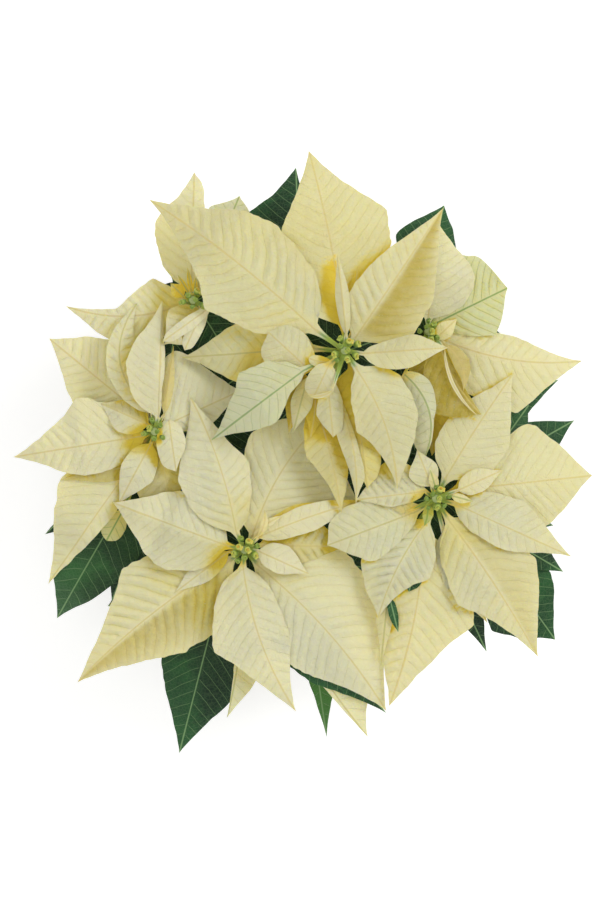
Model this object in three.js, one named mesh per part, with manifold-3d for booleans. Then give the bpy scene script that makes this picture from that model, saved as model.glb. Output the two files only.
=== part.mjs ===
// A white poinsettia in a plain pot: six flower heads on six branches of one pinched main stem.
// Millimetres, +Z up. The origin is the centre of the pot's flat bottom.
import * as THREE from "three";
import { mergeVertices } from "three/addons/utils/BufferGeometryUtils.js";
import Module from "manifold-3d";

const wasm = await Module();
wasm.setup();

// ---- Driving dimensions -------------------------------------------------------------------

const POT = {
  height: 130, bottomRadius: 52, topRadius: 68, rimRadius: 74, rimHeight: 24,
  wall: 3.2, floor: 4, sides: 32, drainRadius: 5, drainCircle: 30, drains: 4,
};
const SOIL = { top: 116, crown: 5, clearance: 0.3, stemHole: 0.3 };
const TRUNK = { radius: 6.4, bottom: 60, collar: 128, top: 160, topRadius: 5.4, sides: 10 };
const BRANCH = { radius: 3.4, topRadius: 2.7, sides: 7, steps: 7, outward: 9 };
const SEAT = 0.3;               // gap between pieces that rest on each other

const BRACT_THICKNESS = 0.8;
const LEAF_THICKNESS = 0.9;
const LAYER_GAP = 2.3;          // between the middles of two blades that lie on each other
const SETTLE_SLOPE = 0.4;       // steepest bend that a blade makes where it rides up on another
const CELL = 2;                 // width of a cell of the height map
const REACH = 230;              // half the side of the height map

const BRACT_PETIOLE = { half: 1.5, drop: 3 };
const LEAF_PETIOLE = { root: 1.6, end: 1.2, sides: 4, steps: 2, drop: 14 };
const CORE = { radius: 3.2, sides: 8, below: 3, above: 2.5 };
const DOME = { radius: 4.6, topRadius: 2.5, height: 3.4, sides: 7 };
const BUD = { root: 1, radius: 3, mouth: 1.4, length: 9, sides: 5 };

// Stations along a blade, from its base to its tip, and the half widths there, as shares of the widest.
const STATIONS = [0, 0.2, 0.45, 0.58, 0.78, 1];
const OUTLINES = {
  ovate: [0.12, 0.84, 1.0, 0.86, 0.42, 0],
  toothed: [0.12, 0.76, 1.0, 0.66, 0.29, 0],
  shouldered: [0.1, 0.58, 0.9, 1.0, 0.62, 0],
  lance: [0.2, 0.8, 1.0, 0.9, 0.5, 0],
  broad: [0.22, 0.96, 1.0, 0.82, 0.4, 0],
  domed: [0.3, 1.0, 0.58, 0.22, 0.14, 0],
  leaf: [0.16, 0.88, 1.0, 0.9, 0.55, 0],
};
const ACROSS = [-1, -0.5, 0, 0.5, 1];
const ACROSS_NARROW = [-1, 0, 1];
const NARROW = 16;              // a blade whose halves are all narrower has two strips, not four
const RIPPLES = 1.5;            // waves of a blade's edge between its base and its tip

// ---- The heads and their blades -----------------------------------------------------------

// at: the head's place in plan. z: how high its lowest bract starts. fork: how high its branch leaves
// the main stem. buds: how many cyathia stand round the middle one, and spread how far out.
const HEADS = {
  a: { at: [29, 69], z: 268, fork: 152, buds: 7, spread: 7.6 },
  b: { at: [88, 83], z: 248, fork: 137, buds: 5, spread: 6 },
  c: { at: [93, -34], z: 250, fork: 147, buds: 7, spread: 7.6 },
  d: { at: [-41, -70], z: 242, fork: 141, buds: 7, spread: 7.4 },
  e: { at: [-104, 13], z: 230, fork: 149, buds: 5, spread: 6 },
  f: { at: [-77, 105], z: 226, fork: 136, buds: 5, spread: 6 },
};

// One blade a line. from and to: its base and tip in plan. half: its greatest half widths, left and
// right of the midrib, looking from base to tip. outline: of the left and the right edge. bow: how far
// the midrib bows to the left. rise and droop: its slope in degrees, up at the base and down at the
// tip. sides: how steeply the left and the right half fall away from the midrib, in degrees. wave: how
// far the edge ripples. level: blades settle on those of lower levels.
const T = "toothed";
const O = "ovate";
const S = "shouldered";
const L = "lance";
const B = "broad";
const D = "domed";
const BRACTS = {
  a: [
    { from: [25, 80], to: [4, 210], half: [34, 50], outline: [T, O], bow: -3, rise: 16, droop: 26, sides: [-6, 12], wave: 2, level: 40 },
    { from: [17, 79], to: [-108, 176], half: [38, 38], outline: [T, O], bow: -3, rise: 14, droop: 26, sides: [12, 6], wave: 2, level: 41 },
    { from: [36, 82], to: [98, 169], half: [28, 37], outline: [O, B], bow: -4, rise: 24, droop: 16, sides: [0, 38], wave: 1.5, level: 42 },
    { from: [17, 72], to: [-85, 65], half: [24, 24], outline: [O, O], bow: 0, rise: 4, droop: 24, sides: [20, -10], wave: 2, level: 36 },
    { from: [36, 54], to: [52, -29], half: [15, 20], outline: [O, S], bow: 0, rise: -8, droop: 26, sides: [10, 16], wave: 1, level: 35 },
    { from: [24, 58], to: [2, 8], half: [13, 13], outline: [L, L], bow: 0, rise: -10, droop: 26, sides: [16, 12], wave: 1, level: 36 },
    { from: [22, 58], to: [36, -36], half: [11, 9], outline: [L, L], bow: -3, rise: 4, droop: 22, sides: [16, 20], wave: 1.5, level: 38 },
    { from: [17, 62], to: [-64, 7], half: [19, 26], outline: [O, B], bow: 0, rise: 14, droop: 30, sides: [6, 14], wave: 1.5, level: 43 },
    { from: [36, 59], to: [66, -27], half: [27, 19], outline: [S, O], bow: 6, rise: 18, droop: 24, sides: [14, 8], wave: 1, level: 44 },
    { from: [39, 66], to: [101, 71], half: [13, 13], outline: [O, O], bow: 0, rise: 26, droop: 10, sides: [-14, -4], wave: 1, level: 45 },
    { from: [20, 62], to: [3, 38], half: [10, 9], outline: [O, O], bow: 0, rise: 22, droop: 34, sides: [10, 10], wave: 0.5, level: 46 },
    { from: [21, 58], to: [-12, 12], half: [9, 9], outline: [O, O], bow: 2, rise: 0, droop: 26, sides: [10, 10], wave: 1, level: 37 },
  ],
  b: [
    { from: [98, 78], to: [197, 63], half: [17, 38], outline: [O, T], bow: -7, rise: 12, droop: 28, sides: [4, 14], wave: 2.5, level: 24 },
    { from: [95, 90], to: [144, 114], half: [43, 26], outline: [S, S], bow: 0, rise: 18, droop: 24, sides: [6, -6], wave: 1.5, level: 25 },
    { from: [88, 93], to: [95, 160], half: [24, 30], outline: [O, O], bow: 0, rise: 26, droop: 14, sides: [0, 12], wave: 1.5, level: 27 },
    { from: [95, 76], to: [125, 26], half: [15, 26], outline: [O, S], bow: 3, rise: 2, droop: 32, sides: [30, 20], wave: 1, level: 30 },
    { from: [84, 76], to: [84, -6], half: [21, 15], outline: [S, O], bow: 6, rise: 4, droop: 26, sides: [18, 16], wave: 1, level: 29 },
    { from: [98, 77], to: [112, 40], half: [7, 6], outline: [L, L], bow: 5, rise: 14, droop: 26, sides: [24, 24], wave: 0.5, level: 31 },
  ],
  c: [
    { from: [90, -46], to: [61, -181], half: [42, 22], outline: [T, O], bow: 5, rise: 4, droop: 24, sides: [12, 34], wave: 2, level: 20 },
    { from: [94, -46], to: [130, -122], half: [15, 15], outline: [O, O], bow: 0, rise: 4, droop: 24, sides: [8, 8], wave: 1, level: 21 },
    { from: [103, -50], to: [166, -146], half: [36, 31], outline: [O, O], bow: 2, rise: 8, droop: 26, sides: [14, 8], wave: 1.5, level: 22 },
    { from: [88, -45], to: [53, -118], half: [24, 22], outline: [O, S], bow: -4, rise: 12, droop: 24, sides: [8, 14], wave: 1.5, level: 28 },
    { from: [83, -41], to: [17, -67], half: [22, 20], outline: [S, O], bow: 0, rise: 12, droop: 22, sides: [6, 6], wave: 1, level: 30 },
    { from: [104, -35], to: [189, -75], half: [21, 15], outline: [O, O], bow: 0, rise: 16, droop: 24, sides: [8, 16], wave: 1.5, level: 27 },
    { from: [104, -29], to: [204, -18], half: [40, 33], outline: [S, S], bow: 0, rise: 12, droop: 26, sides: [8, 10], wave: 2.5, level: 25 },
    { from: [98, -22], to: [148, 54], half: [19, 24], outline: [O, O], bow: 0, rise: 22, droop: 16, sides: [12, 4], wave: 1.5, level: 29 },
    { from: [85, -29], to: [37, -35], half: [8, 25], outline: [O, O], bow: 0, rise: 14, droop: 20, sides: [10, 14], wave: 1.5, level: 31 },
    { from: [84, -34], to: [45, -40], half: [6, 6], outline: [L, L], bow: 0, rise: 12, droop: 16, sides: [14, 14], wave: 0.5, level: 32 },
    { from: [105, -30], to: [140, -14], half: [9, 8], outline: [O, O], bow: 0, rise: 24, droop: 6, sides: [8, 8], wave: 0.5, level: 33 },
    { from: [90, -25], to: [80, 0], half: [12, 9], outline: [O, O], bow: 0, rise: 30, droop: 10, sides: [6, 6], wave: 0.3, level: 33 },
  ],
  d: [
    { from: [-43, -84], to: [-54, -190], half: [24, 13], outline: [S, O], bow: 0, rise: -8, droop: 22, sides: [10, 10], wave: 1, level: 10 },
    { from: [-31, -82], to: [46, -203], half: [22, 12], outline: [S, T], bow: -4, rise: -8, droop: 22, sides: [8, 8], wave: 1, level: 10 },
    { from: [-53, -79], to: [-160, -165], half: [39, 38], outline: [T, T], bow: -5, rise: 6, droop: 28, sides: [8, 12], wave: 2, level: 17 },
    { from: [-31, -82], to: [59, -185], half: [52, 36], outline: [B, T], bow: 6, rise: 6, droop: 26, sides: [6, 8], wave: 2, level: 18 },
    { from: [-53, -72], to: [-91, -101], half: [8, 9], outline: [O, O], bow: 0, rise: 8, droop: 20, sides: [10, 10], wave: 0.5, level: 19 },
    { from: [-42, -83], to: [-5, -185], half: [21, 33], outline: [O, T], bow: -6, rise: 12, droop: 28, sides: [12, 10], wave: 1.5, level: 22 },
    { from: [-54, -67], to: [-134, -37], half: [31, 25], outline: [O, O], bow: 0, rise: 16, droop: 26, sides: [12, 8], wave: 1.5, level: 23 },
    { from: [-35, -59], to: [19, 25], half: [32, 46], outline: [S, S], bow: 7, rise: 10, droop: 16, sides: [8, 12], wave: 2, level: 23 },
    { from: [-47, -57], to: [-79, 37], half: [31, 20], outline: [O, O], bow: -4, rise: 16, droop: 20, sides: [10, 16], wave: 2, level: 24 },
    { from: [-31, -61], to: [46, -35], half: [8, 14], outline: [L, O], bow: 2, rise: 12, droop: 12, sides: [16, 16], wave: 0.5, level: 27 },
    { from: [-31, -71], to: [4, -87], half: [12, 9], outline: [O, O], bow: 0, rise: 20, droop: 14, sides: [8, 8], wave: 0.5, level: 26 },
    { from: [-34, -61], to: [-16, -48], half: [5, 4], outline: [L, L], bow: 0, rise: 26, droop: 20, sides: [14, 14], wave: 0.3, level: 28 },
    { from: [-30, -67], to: [24, -72], half: [14, 12], outline: [S, O], bow: 0, rise: 6, droop: 24, sides: [8, 20], wave: 1.5, level: 25 },
  ],
  e: [
    { from: [-111, 3], to: [-181, -95], half: [17, 35], outline: [O, B], bow: 0, rise: 4, droop: 24, sides: [34, 8], wave: 2, level: 12 },
    { from: [-110, 22], to: [-180, 79], half: [26, 29], outline: [O, S], bow: 0, rise: 10, droop: 28, sides: [10, 6], wave: 2, level: 13 },
    { from: [-108, 23], to: [-130, 90], half: [12, 13], outline: [O, O], bow: 0, rise: 12, droop: 22, sides: [12, 12], wave: 1.5, level: 14 },
    { from: [-95, 18], to: [-44, 42], half: [46, 18], outline: [O, O], bow: 0, rise: 8, droop: 22, sides: [6, 14], wave: 1.5, level: 15 },
    { from: [-101, 4], to: [-90, -42], half: [14, 22], outline: [O, S], bow: 0, rise: 0, droop: 26, sides: [14, 14], wave: 1, level: 14 },
    { from: [-112, 10], to: [-205, -5], half: [21, 34], outline: [O, T], bow: 0, rise: 14, droop: 26, sides: [8, 8], wave: 2, level: 16 },
    { from: [-107, 4], to: [-130, -38], half: [16, 9], outline: [O, O], bow: 0, rise: 14, droop: 20, sides: [8, 8], wave: 1, level: 17 },
    { from: [-101, 24], to: [-99, 105], half: [24, 9], outline: [O, O], bow: 0, rise: 20, droop: 14, sides: [8, 50], wave: 1, level: 25 },
    { from: [-109, 18], to: [-140, 33], half: [12, 10], outline: [O, O], bow: 0, rise: 18, droop: 20, sides: [8, 8], wave: 0.5, level: 19 },
    { from: [-97, 9], to: [-84, -13], half: [16, 8], outline: [S, O], bow: 0, rise: 26, droop: 10, sides: [8, 14], wave: 0.5, level: 27 },
  ],
  f: [
    { from: [-79, 114], to: [-78, 199], half: [27, 13], outline: [O, O], bow: 0, rise: 14, droop: 26, sides: [12, 8], wave: 2, level: 20 },
    { from: [-73, 113], to: [-45, 180], half: [18, 14], outline: [S, S], bow: 0, rise: 10, droop: 20, sides: [10, 8], wave: 1, level: 19 },
    { from: [-84, 103], to: [-168, 102], half: [21, 23], outline: [O, D], bow: 8, rise: 18, droop: 30, sides: [22, 4], wave: 3, level: 24 },
    { from: [-72, 98], to: [-97, 74], half: [12, 15], outline: [S, O], bow: 0, rise: 18, droop: 22, sides: [30, 14], wave: 1, level: 26 },
    { from: [-80, 110], to: [-84, 126], half: [4, 4], outline: [L, L], bow: 0, rise: 26, droop: 8, sides: [10, 10], wave: 0.3, level: 27 },
  ],
};

// Leaves: as bracts, with z: how high the blade starts.
const LEAVES = {
  a: [
    { from: [27, 73], to: [-32, 112], half: [22, 22], z: 240, level: 8 },
    { from: [34, 70], to: [77, 78], half: [22, 20], z: 240, level: 8 },
    { from: [30, 63], to: [26, 8], half: [20, 20], z: 240, level: 8 },
    { from: [0, 112], to: [-4, 201], half: [36, 18], z: 208, level: 6, outline: [S, T] },
    { from: [8, 76], to: [-66, 90], half: [24, 24], z: 206, level: 5 },
    { from: [38, 56], to: [66, -14], half: [22, 22], z: 206, level: 3 },
    { from: [20, 62], to: [-24, 12], half: [24, 24], z: 200, level: 3 },
  ],
  b: [
    { from: [93, 81], to: [152, 68], half: [20, 20], z: 222, level: 8 },
    { from: [84, 108], to: [101, 175], half: [27, 18], z: 202, level: 6 },
    { from: [108, 70], to: [185, 48], half: [18, 32], z: 200, level: 5, outline: [T, S] },
    { from: [82, 70], to: [60, 14], half: [20, 20], z: 196, level: 2 },
  ],
  c: [
    { from: [95, -39], to: [128, -92], half: [22, 22], z: 224, level: 8 },
    { from: [92, -29], to: [114, 38], half: [22, 20], z: 224, level: 8 },
    { from: [88, -29], to: [72, 26], half: [20, 20], z: 222, level: 7 },
    { from: [87, -36], to: [26, -14], half: [22, 22], z: 222, level: 6 },
    { from: [112, -24], to: [194, 21], half: [20, 20], z: 210, level: 6 },
    { from: [122, -14], to: [156, 32], half: [12, 15], z: 214, level: 7 },
    { from: [114, -38], to: [179, -54], half: [16, 16], z: 204, level: 5 },
    { from: [120, -48], to: [186, -87], half: [15, 15], z: 200, level: 5 },
    { from: [136, -74], to: [181, -136], half: [25, 28], z: 194, level: 4, outline: [O, S] },
    { from: [88, -52], to: [132, -145], half: [15, 15], z: 196, level: 2 },
    { from: [74, -40], to: [16, -62], half: [22, 22], z: 196, level: 1 },
  ],
  d: [
    { from: [-39, -66], to: [-2, -16], half: [22, 22], z: 214, level: 8 },
    { from: [-35, -72], to: [44, -82], half: [24, 24], z: 214, level: 7 },
    { from: [-47, -68], to: [-106, -52], half: [22, 22], z: 212, level: 7 },
    { from: [-42, -74], to: [-40, -136], half: [22, 22], z: 214, level: 8 },
    { from: [-52, -106], to: [-89, -217], half: [26, 33], z: 194, level: 4, outline: [B, B] },
    { from: [-24, -92], to: [59, -186], half: [14, 34], z: 198, level: 4, outline: [T, O] },
    { from: [4, -130], to: [17, -206], half: [12, 8], z: 190, level: 3 },
    { from: [-60, -78], to: [-140, -112], half: [24, 28], z: 198, level: 3 },
    { from: [-28, -56], to: [40, -20], half: [26, 26], z: 188, level: 1 },
    { from: [-46, -50], to: [-60, 20], half: [24, 24], z: 194, level: 2 },
  ],
  e: [
    { from: [-103, 9], to: [-96, -52], half: [22, 22], z: 202, level: 7 },
    { from: [-105, 17], to: [-114, 76], half: [20, 20], z: 202, level: 7 },
    { from: [-99, 17], to: [-36, 58], half: [24, 24], z: 200, level: 6 },
    { from: [-116, -18], to: [-174, -118], half: [28, 32], z: 192, level: 5 },
    { from: [-98, -14], to: [-137, -108], half: [22, 22], z: 184, level: 4 },
    { from: [-122, -4], to: [-186, -60], half: [22, 12], z: 196, level: 6 },
    { from: [-120, 26], to: [-160, 50], half: [20, 20], z: 190, level: 4 },
    { from: [-86, 12], to: [-24, 30], half: [25, 25], z: 196, level: 3 },
  ],
  f: [
    { from: [-74, 101], to: [-42, 50], half: [20, 34], z: 200, level: 7 },
    { from: [-78, 110], to: [-72, 166], half: [20, 20], z: 198, level: 7 },
    { from: [-66, 118], to: [-38, 164], half: [18, 18], z: 190, level: 4 },
    { from: [-94, 100], to: [-146, 94], half: [20, 20], z: 190, level: 3 },
  ],
};
const LEAF_FORM = { outline: ["leaf", "leaf"], bow: 0, rise: 2, droop: 36, sides: [12, 12], wave: 1.5 };

// ---- Small helpers ------------------------------------------------------------------------

const rad = THREE.MathUtils.degToRad;

// Points and triangle indices as a three.js geometry.
function geometryOf(points, triangles) {
  const geometry = new THREE.BufferGeometry();
  geometry.setAttribute("position", new THREE.Float32BufferAttribute(points.flatMap((p) => p.toArray()), 3));
  geometry.setIndex(triangles.flat());
  return geometry;
}

// A closed three.js geometry as a solid that can be joined and cut.
function solidOf(geometry) {
  const bare = geometry.clone();
  bare.deleteAttribute("normal");
  bare.deleteAttribute("uv");
  const merged = mergeVertices(bare, 1e-4);
  return new wasm.Manifold(new wasm.Mesh({
    numProp: 3,
    vertProperties: new Float32Array(merged.attributes.position.array),
    triVerts: new Uint32Array(merged.index.array),
  }));
}

function geometryFrom(solid) {
  const mesh = solid.getMesh();
  const geometry = new THREE.BufferGeometry();
  geometry.setAttribute("position", new THREE.BufferAttribute(mesh.vertProperties, 3));
  geometry.setIndex(new THREE.BufferAttribute(mesh.triVerts, 1));
  return geometry;
}

// Rings of points, each closed, joined into a tube with flat ends.
function tubeOf(rings) {
  const sides = rings[0].length;
  const points = rings.flat();
  const triangles = [];
  for (let i = 0; i + 1 < rings.length; i++) {
    for (let j = 0; j < sides; j++) {
      const a = i * sides + j;
      const b = i * sides + ((j + 1) % sides);
      triangles.push([a, b, b + sides], [a, b + sides, a + sides]);
    }
  }
  const last = (rings.length - 1) * sides;
  for (let j = 1; j + 1 < sides; j++) {
    triangles.push([0, j + 1, j], [last, last + j, last + j + 1]);
  }
  return geometryOf(points, triangles);
}

// A ring of points round a centre, square to the way along.
function ringRound(centre, along, radius, sides) {
  const side = new THREE.Vector3(0, 0, 1).cross(along);
  if (side.lengthSq() < 1e-6) side.set(1, 0, 0);
  side.normalize();
  const up = along.clone().cross(side);
  return Array.from({ length: sides }, (_, j) => {
    const angle = (2 * Math.PI * j) / sides;
    return centre.clone()
      .addScaledVector(side, radius * Math.cos(angle))
      .addScaledVector(up, radius * Math.sin(angle));
  });
}

// A straight round bar through centres on one line, with a radius at each.
function barThrough(centres, along, radii, sides) {
  return tubeOf(centres.map((centre, i) => ringRound(centre, along, radii[i], sides)));
}

// A round bar along a curve, its radius going evenly from the first to the last.
function barAlong(curve, steps, firstRadius, lastRadius, sides) {
  return tubeOf(Array.from({ length: steps + 1 }, (_, i) => {
    const radius = THREE.MathUtils.lerp(firstRadius, lastRadius, i / steps);
    return ringRound(curve.getPoint(i / steps), curve.getTangent(i / steps), radius, sides);
  }));
}

// ---- Blades -------------------------------------------------------------------------------

// How a blade is split across: from its right edge, at -1, to its left edge, at 1.
function acrossOf(blade) {
  return blade.green || Math.max(...blade.half) < NARROW ? ACROSS_NARROW : ACROSS;
}

// The middle surface of a blade: a row of points across it at each station. A bract has one more row
// first, where its flat petiole leaves the middle of its stem.
function bladeRows(blade) {
  const from = new THREE.Vector2(...blade.from);
  const to = new THREE.Vector2(...blade.to);
  const length = from.distanceTo(to);
  const left = to.clone().sub(from).divideScalar(length).rotateAround(new THREE.Vector2(), Math.PI / 2);
  const middle = from.clone().add(to).multiplyScalar(0.5).addScaledVector(left, 2 * blade.bow);
  const midrib = new THREE.QuadraticBezierCurve(from, middle, to);
  const across = acrossOf(blade);
  const rows = STATIONS.map((s, i) => {
    const centre = midrib.getPoint(s);
    const along = midrib.getTangent(s);
    const climb = Math.tan(rad(blade.rise)) * (s - (s * s) / 2);
    const fall = Math.tan(rad(blade.droop)) * (s * s) / 2;
    const height = blade.z + length * (climb - fall) + blade.lifts[i];
    return across.map((t) => {
      const side = t > 0 ? 0 : 1;
      const width = blade.half[side] * OUTLINES[blade.outline[side]][i] * Math.abs(t);
      const ripple = blade.wave * t * t * Math.sin(2 * Math.PI * RIPPLES * s + 2 * t);
      return new THREE.Vector3(
        centre.x - along.y * width * Math.sign(t),
        centre.y + along.x * width * Math.sign(t),
        height - width * Math.tan(rad(blade.sides[side])) + ripple * OUTLINES[blade.outline[side]][i],
      );
    });
  });
  if (blade.green) return rows;
  const stem = new THREE.Vector2(...HEADS[blade.head].at);
  const outward = from.clone().sub(stem).normalize();
  const root = blade.z + blade.lifts[0] - BRACT_PETIOLE.drop;
  return [across.map((t) => new THREE.Vector3(
    stem.x - outward.y * t * BRACT_PETIOLE.half, stem.y + outward.x * t * BRACT_PETIOLE.half, root,
  )), ...rows];
}

// A blade of even thickness round its middle surface, split into triangles alike on both faces.
function bladeGeometry(rows, thickness) {
  const columns = rows[0].length;
  const grid = rows.slice(0, -1);
  const tip = rows.at(-1)[0];
  const normals = grid.map((row, i) => row.map((_, j) => {
    const along = rows[i + 1][j].clone().sub(rows[Math.max(i - 1, 0)][j]);
    const across = row[Math.min(j + 1, columns - 1)].clone().sub(row[Math.max(j - 1, 0)]);
    return across.cross(along).negate().normalize();
  }));
  const half = thickness / 2;
  const face = (sign) => grid.flatMap((row, i) => row.map((p, j) => (
    p.clone().addScaledVector(normals[i][j], sign * half)
  )));
  const tipNormal = normals.at(-1)[(columns - 1) / 2];
  const points = [...face(1), ...face(-1)];
  const under = grid.length * columns;
  const tipTop = points.push(tip.clone().addScaledVector(tipNormal, half)) - 1;
  const tipUnder = points.push(tip.clone().addScaledVector(tipNormal, -half)) - 1;
  const triangles = [];
  const both = (a, b, c) => triangles.push([a, b, c], [c + under, b + under, a + under]);
  for (let i = 0; i + 1 < grid.length; i++) {
    for (let j = 0; j + 1 < columns; j++) {
      const a = i * columns + j;
      both(a, a + columns + 1, a + 1);
      both(a, a + columns, a + columns + 1);
    }
  }
  const lastRow = (grid.length - 1) * columns;
  for (let j = 0; j + 1 < columns; j++) {
    triangles.push([lastRow + j, tipTop, lastRow + j + 1]);
    triangles.push([lastRow + j + 1 + under, tipUnder, lastRow + j + under]);
  }
  const rim = [];
  for (let j = columns - 1; j > 0; j--) rim.push([j, j - 1]);
  for (let i = 0; i + 1 < grid.length; i++) rim.push([i * columns, (i + 1) * columns]);
  for (let i = grid.length - 1; i > 0; i--) rim.push([(i + 1) * columns - 1, i * columns - 1]);
  for (const [a, b] of rim) triangles.push([a, a + under, b + under], [a, b + under, b]);
  const first = lastRow;
  const end = lastRow + columns - 1;
  triangles.push([first, first + under, tipUnder], [first, tipUnder, tipTop]);
  triangles.push([tipTop, tipUnder, end + under], [tipTop, end + under, end]);
  return geometryOf(points, triangles);
}

// ---- Settling: each blade rides up on what lies below it -------------------------------------

const cells = Math.round((2 * REACH) / CELL);
const heights = new Float32Array(cells * cells).fill(-Infinity);
const cellOf = (value) => THREE.MathUtils.clamp(Math.floor((value + REACH) / CELL), 1, cells - 2);

function heightNear(x, y) {
  const i = cellOf(x);
  const j = cellOf(y);
  return Math.max(
    heights[j * cells + i], heights[j * cells + i - 1], heights[j * cells + i + 1],
    heights[(j - 1) * cells + i], heights[(j + 1) * cells + i],
  );
}

function raise(x, y, z) {
  const k = cellOf(y) * cells + cellOf(x);
  heights[k] = Math.max(heights[k], z);
}

// Calls visit(row, point) for points spread evenly over a blade.
function overBlade(rows, visit) {
  const fine = 5;
  for (let i = 0; i + 1 < rows.length; i++) {
    for (let j = 0; j + 1 < rows[i].length; j++) {
      for (let u = 0; u <= fine; u++) {
        const a = rows[i][j].clone().lerp(rows[i + 1][j], u / fine);
        const b = rows[i][j + 1].clone().lerp(rows[i + 1][j + 1], u / fine);
        for (let v = 0; v <= fine; v++) visit(i, a.clone().lerp(b, v / fine));
      }
    }
  }
}

function settle(blade) {
  blade.lifts = STATIONS.map(() => 0);
  const need = STATIONS.map(() => 0);
  const petioleRows = blade.green ? 0 : 1;
  overBlade(bladeRows(blade), (row, p) => {
    const missing = heightNear(p.x, p.y) + LAYER_GAP - p.z;
    const first = Math.max(row - petioleRows, 0);
    const next = row + 1 - petioleRows;
    need[first] = Math.max(need[first], missing);
    need[next] = Math.max(need[next], missing);
  });
  const length = new THREE.Vector2(...blade.from).distanceTo(new THREE.Vector2(...blade.to));
  blade.lifts = STATIONS.map((s) => Math.max(...STATIONS.map((other, k) => (
    need[k] - SETTLE_SLOPE * length * Math.abs(s - other)
  ))));
  overBlade(bladeRows(blade), (_, p) => raise(p.x, p.y, p.z));
}

// Once a head's last bract lies, its stem's ends are known, and its buds keep later blades off.
function closeHead(name, blade) {
  const own = blades.filter((other) => other.head === name && !other.green);
  if (own.at(-1) !== blade) return;
  const head = HEADS[name];
  const roots = own.map((bract) => bract.z + bract.lifts[0] - BRACT_PETIOLE.drop);
  head.bottom = Math.min(...roots) - CORE.below;
  head.top = Math.max(...roots) + CORE.above;
  for (let dx = -head.spread; dx <= head.spread; dx += CELL) {
    for (let dy = -head.spread; dy <= head.spread; dy += CELL) {
      raise(head.at[0] + dx, head.at[1] + dy, head.top + BUD.length);
    }
  }
}

const blades = [];
for (const [name, head] of Object.entries(HEADS)) {
  for (const leaf of LEAVES[name]) {
    blades.push({ ...LEAF_FORM, ...leaf, head: name, green: true });
  }
  for (const bract of BRACTS[name]) blades.push({ ...bract, head: name, z: head.z });
}
blades.sort((a, b) => a.level - b.level);
for (const blade of blades) {
  settle(blade);
  if (!blade.green) closeHead(blade.head, blade);
}

// ---- Heads --------------------------------------------------------------------------------

function bladeSolid(blade) {
  return solidOf(bladeGeometry(bladeRows(blade), blade.green ? LEAF_THICKNESS : BRACT_THICKNESS));
}

// A leaf's petiole, from a point on its stem to just inside the blade's base.
function petioleSolid(leaf, root) {
  const rows = bladeRows(leaf);
  const middle = (rows[0].length - 1) / 2;
  const base = rows[0][middle];
  const end = base.clone().lerp(rows[1][middle], 0.4);
  const bend = root.clone().lerp(base, 0.6);
  bend.z = base.z - 0.4 * LEAF_PETIOLE.drop;
  const curve = new THREE.QuadraticBezierCurve3(root, bend, end);
  const { steps, root: thick, end: thin, sides } = LEAF_PETIOLE;
  return solidOf(barAlong(curve, steps, thick, thin, sides));
}

function upright(x, y, bottom, top, radius, sides) {
  const centres = [new THREE.Vector3(x, y, bottom), new THREE.Vector3(x, y, top)];
  return solidOf(barThrough(centres, new THREE.Vector3(0, 0, 1), [radius, radius], sides));
}

function bractsOf(name) {
  const head = HEADS[name];
  const own = blades.filter((blade) => blade.head === name && !blade.green);
  const core = upright(...head.at, head.bottom, head.top, CORE.radius, CORE.sides);
  return wasm.Manifold.union([core, ...own.map(bladeSolid)]);
}

function branchCurve(name) {
  const [x, y] = HEADS[name].at;
  const outward = new THREE.Vector2(x, y).normalize();
  const { fork } = HEADS[name];
  const top = HEADS[name].bottom - SEAT;
  const taper = (fork - TRUNK.collar) / (TRUNK.top - TRUNK.collar);
  const near = THREE.MathUtils.lerp(TRUNK.radius, TRUNK.topRadius, taper) + SEAT;
  const away = near + BRANCH.outward;
  return new THREE.CubicBezierCurve3(
    new THREE.Vector3(outward.x * near, outward.y * near, fork),
    new THREE.Vector3(outward.x * away, outward.y * away, fork),
    new THREE.Vector3(x, y, top - 90),
    new THREE.Vector3(x, y, top),
  );
}

// The nearest point of a curve to a place in plan and a height.
function nearestOn(curve, target) {
  const tried = Array.from({ length: 60 }, (_, i) => curve.getPoint(i / 60));
  return tried.reduce((best, p) => (p.distanceTo(target) < best.distanceTo(target) ? p : best));
}

function leafyStem(name) {
  const curve = branchCurve(name);
  const stem = solidOf(barAlong(curve, BRANCH.steps, BRANCH.radius, BRANCH.topRadius, BRANCH.sides));
  const own = blades.filter((blade) => blade.head === name && blade.green);
  const solids = own.flatMap((leaf) => {
    const base = new THREE.Vector3(...leaf.from, leaf.z + leaf.lifts[0] - LEAF_PETIOLE.drop);
    return [bladeSolid(leaf), petioleSolid(leaf, nearestOn(curve, base))];
  });
  return wasm.Manifold.union([stem, ...solids]);
}

// A bud leans out from the dome: narrow at its root, widest past its middle, with a small mouth.
function budSolid(root, lean) {
  const tip = root.clone().addScaledVector(lean, BUD.length);
  const radii = [BUD.root, BUD.radius, BUD.mouth];
  const curve = new THREE.LineCurve3(root, tip);
  return solidOf(barThrough([0, 0.62, 1].map((s) => curve.getPoint(s)), lean, radii, BUD.sides));
}

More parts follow.
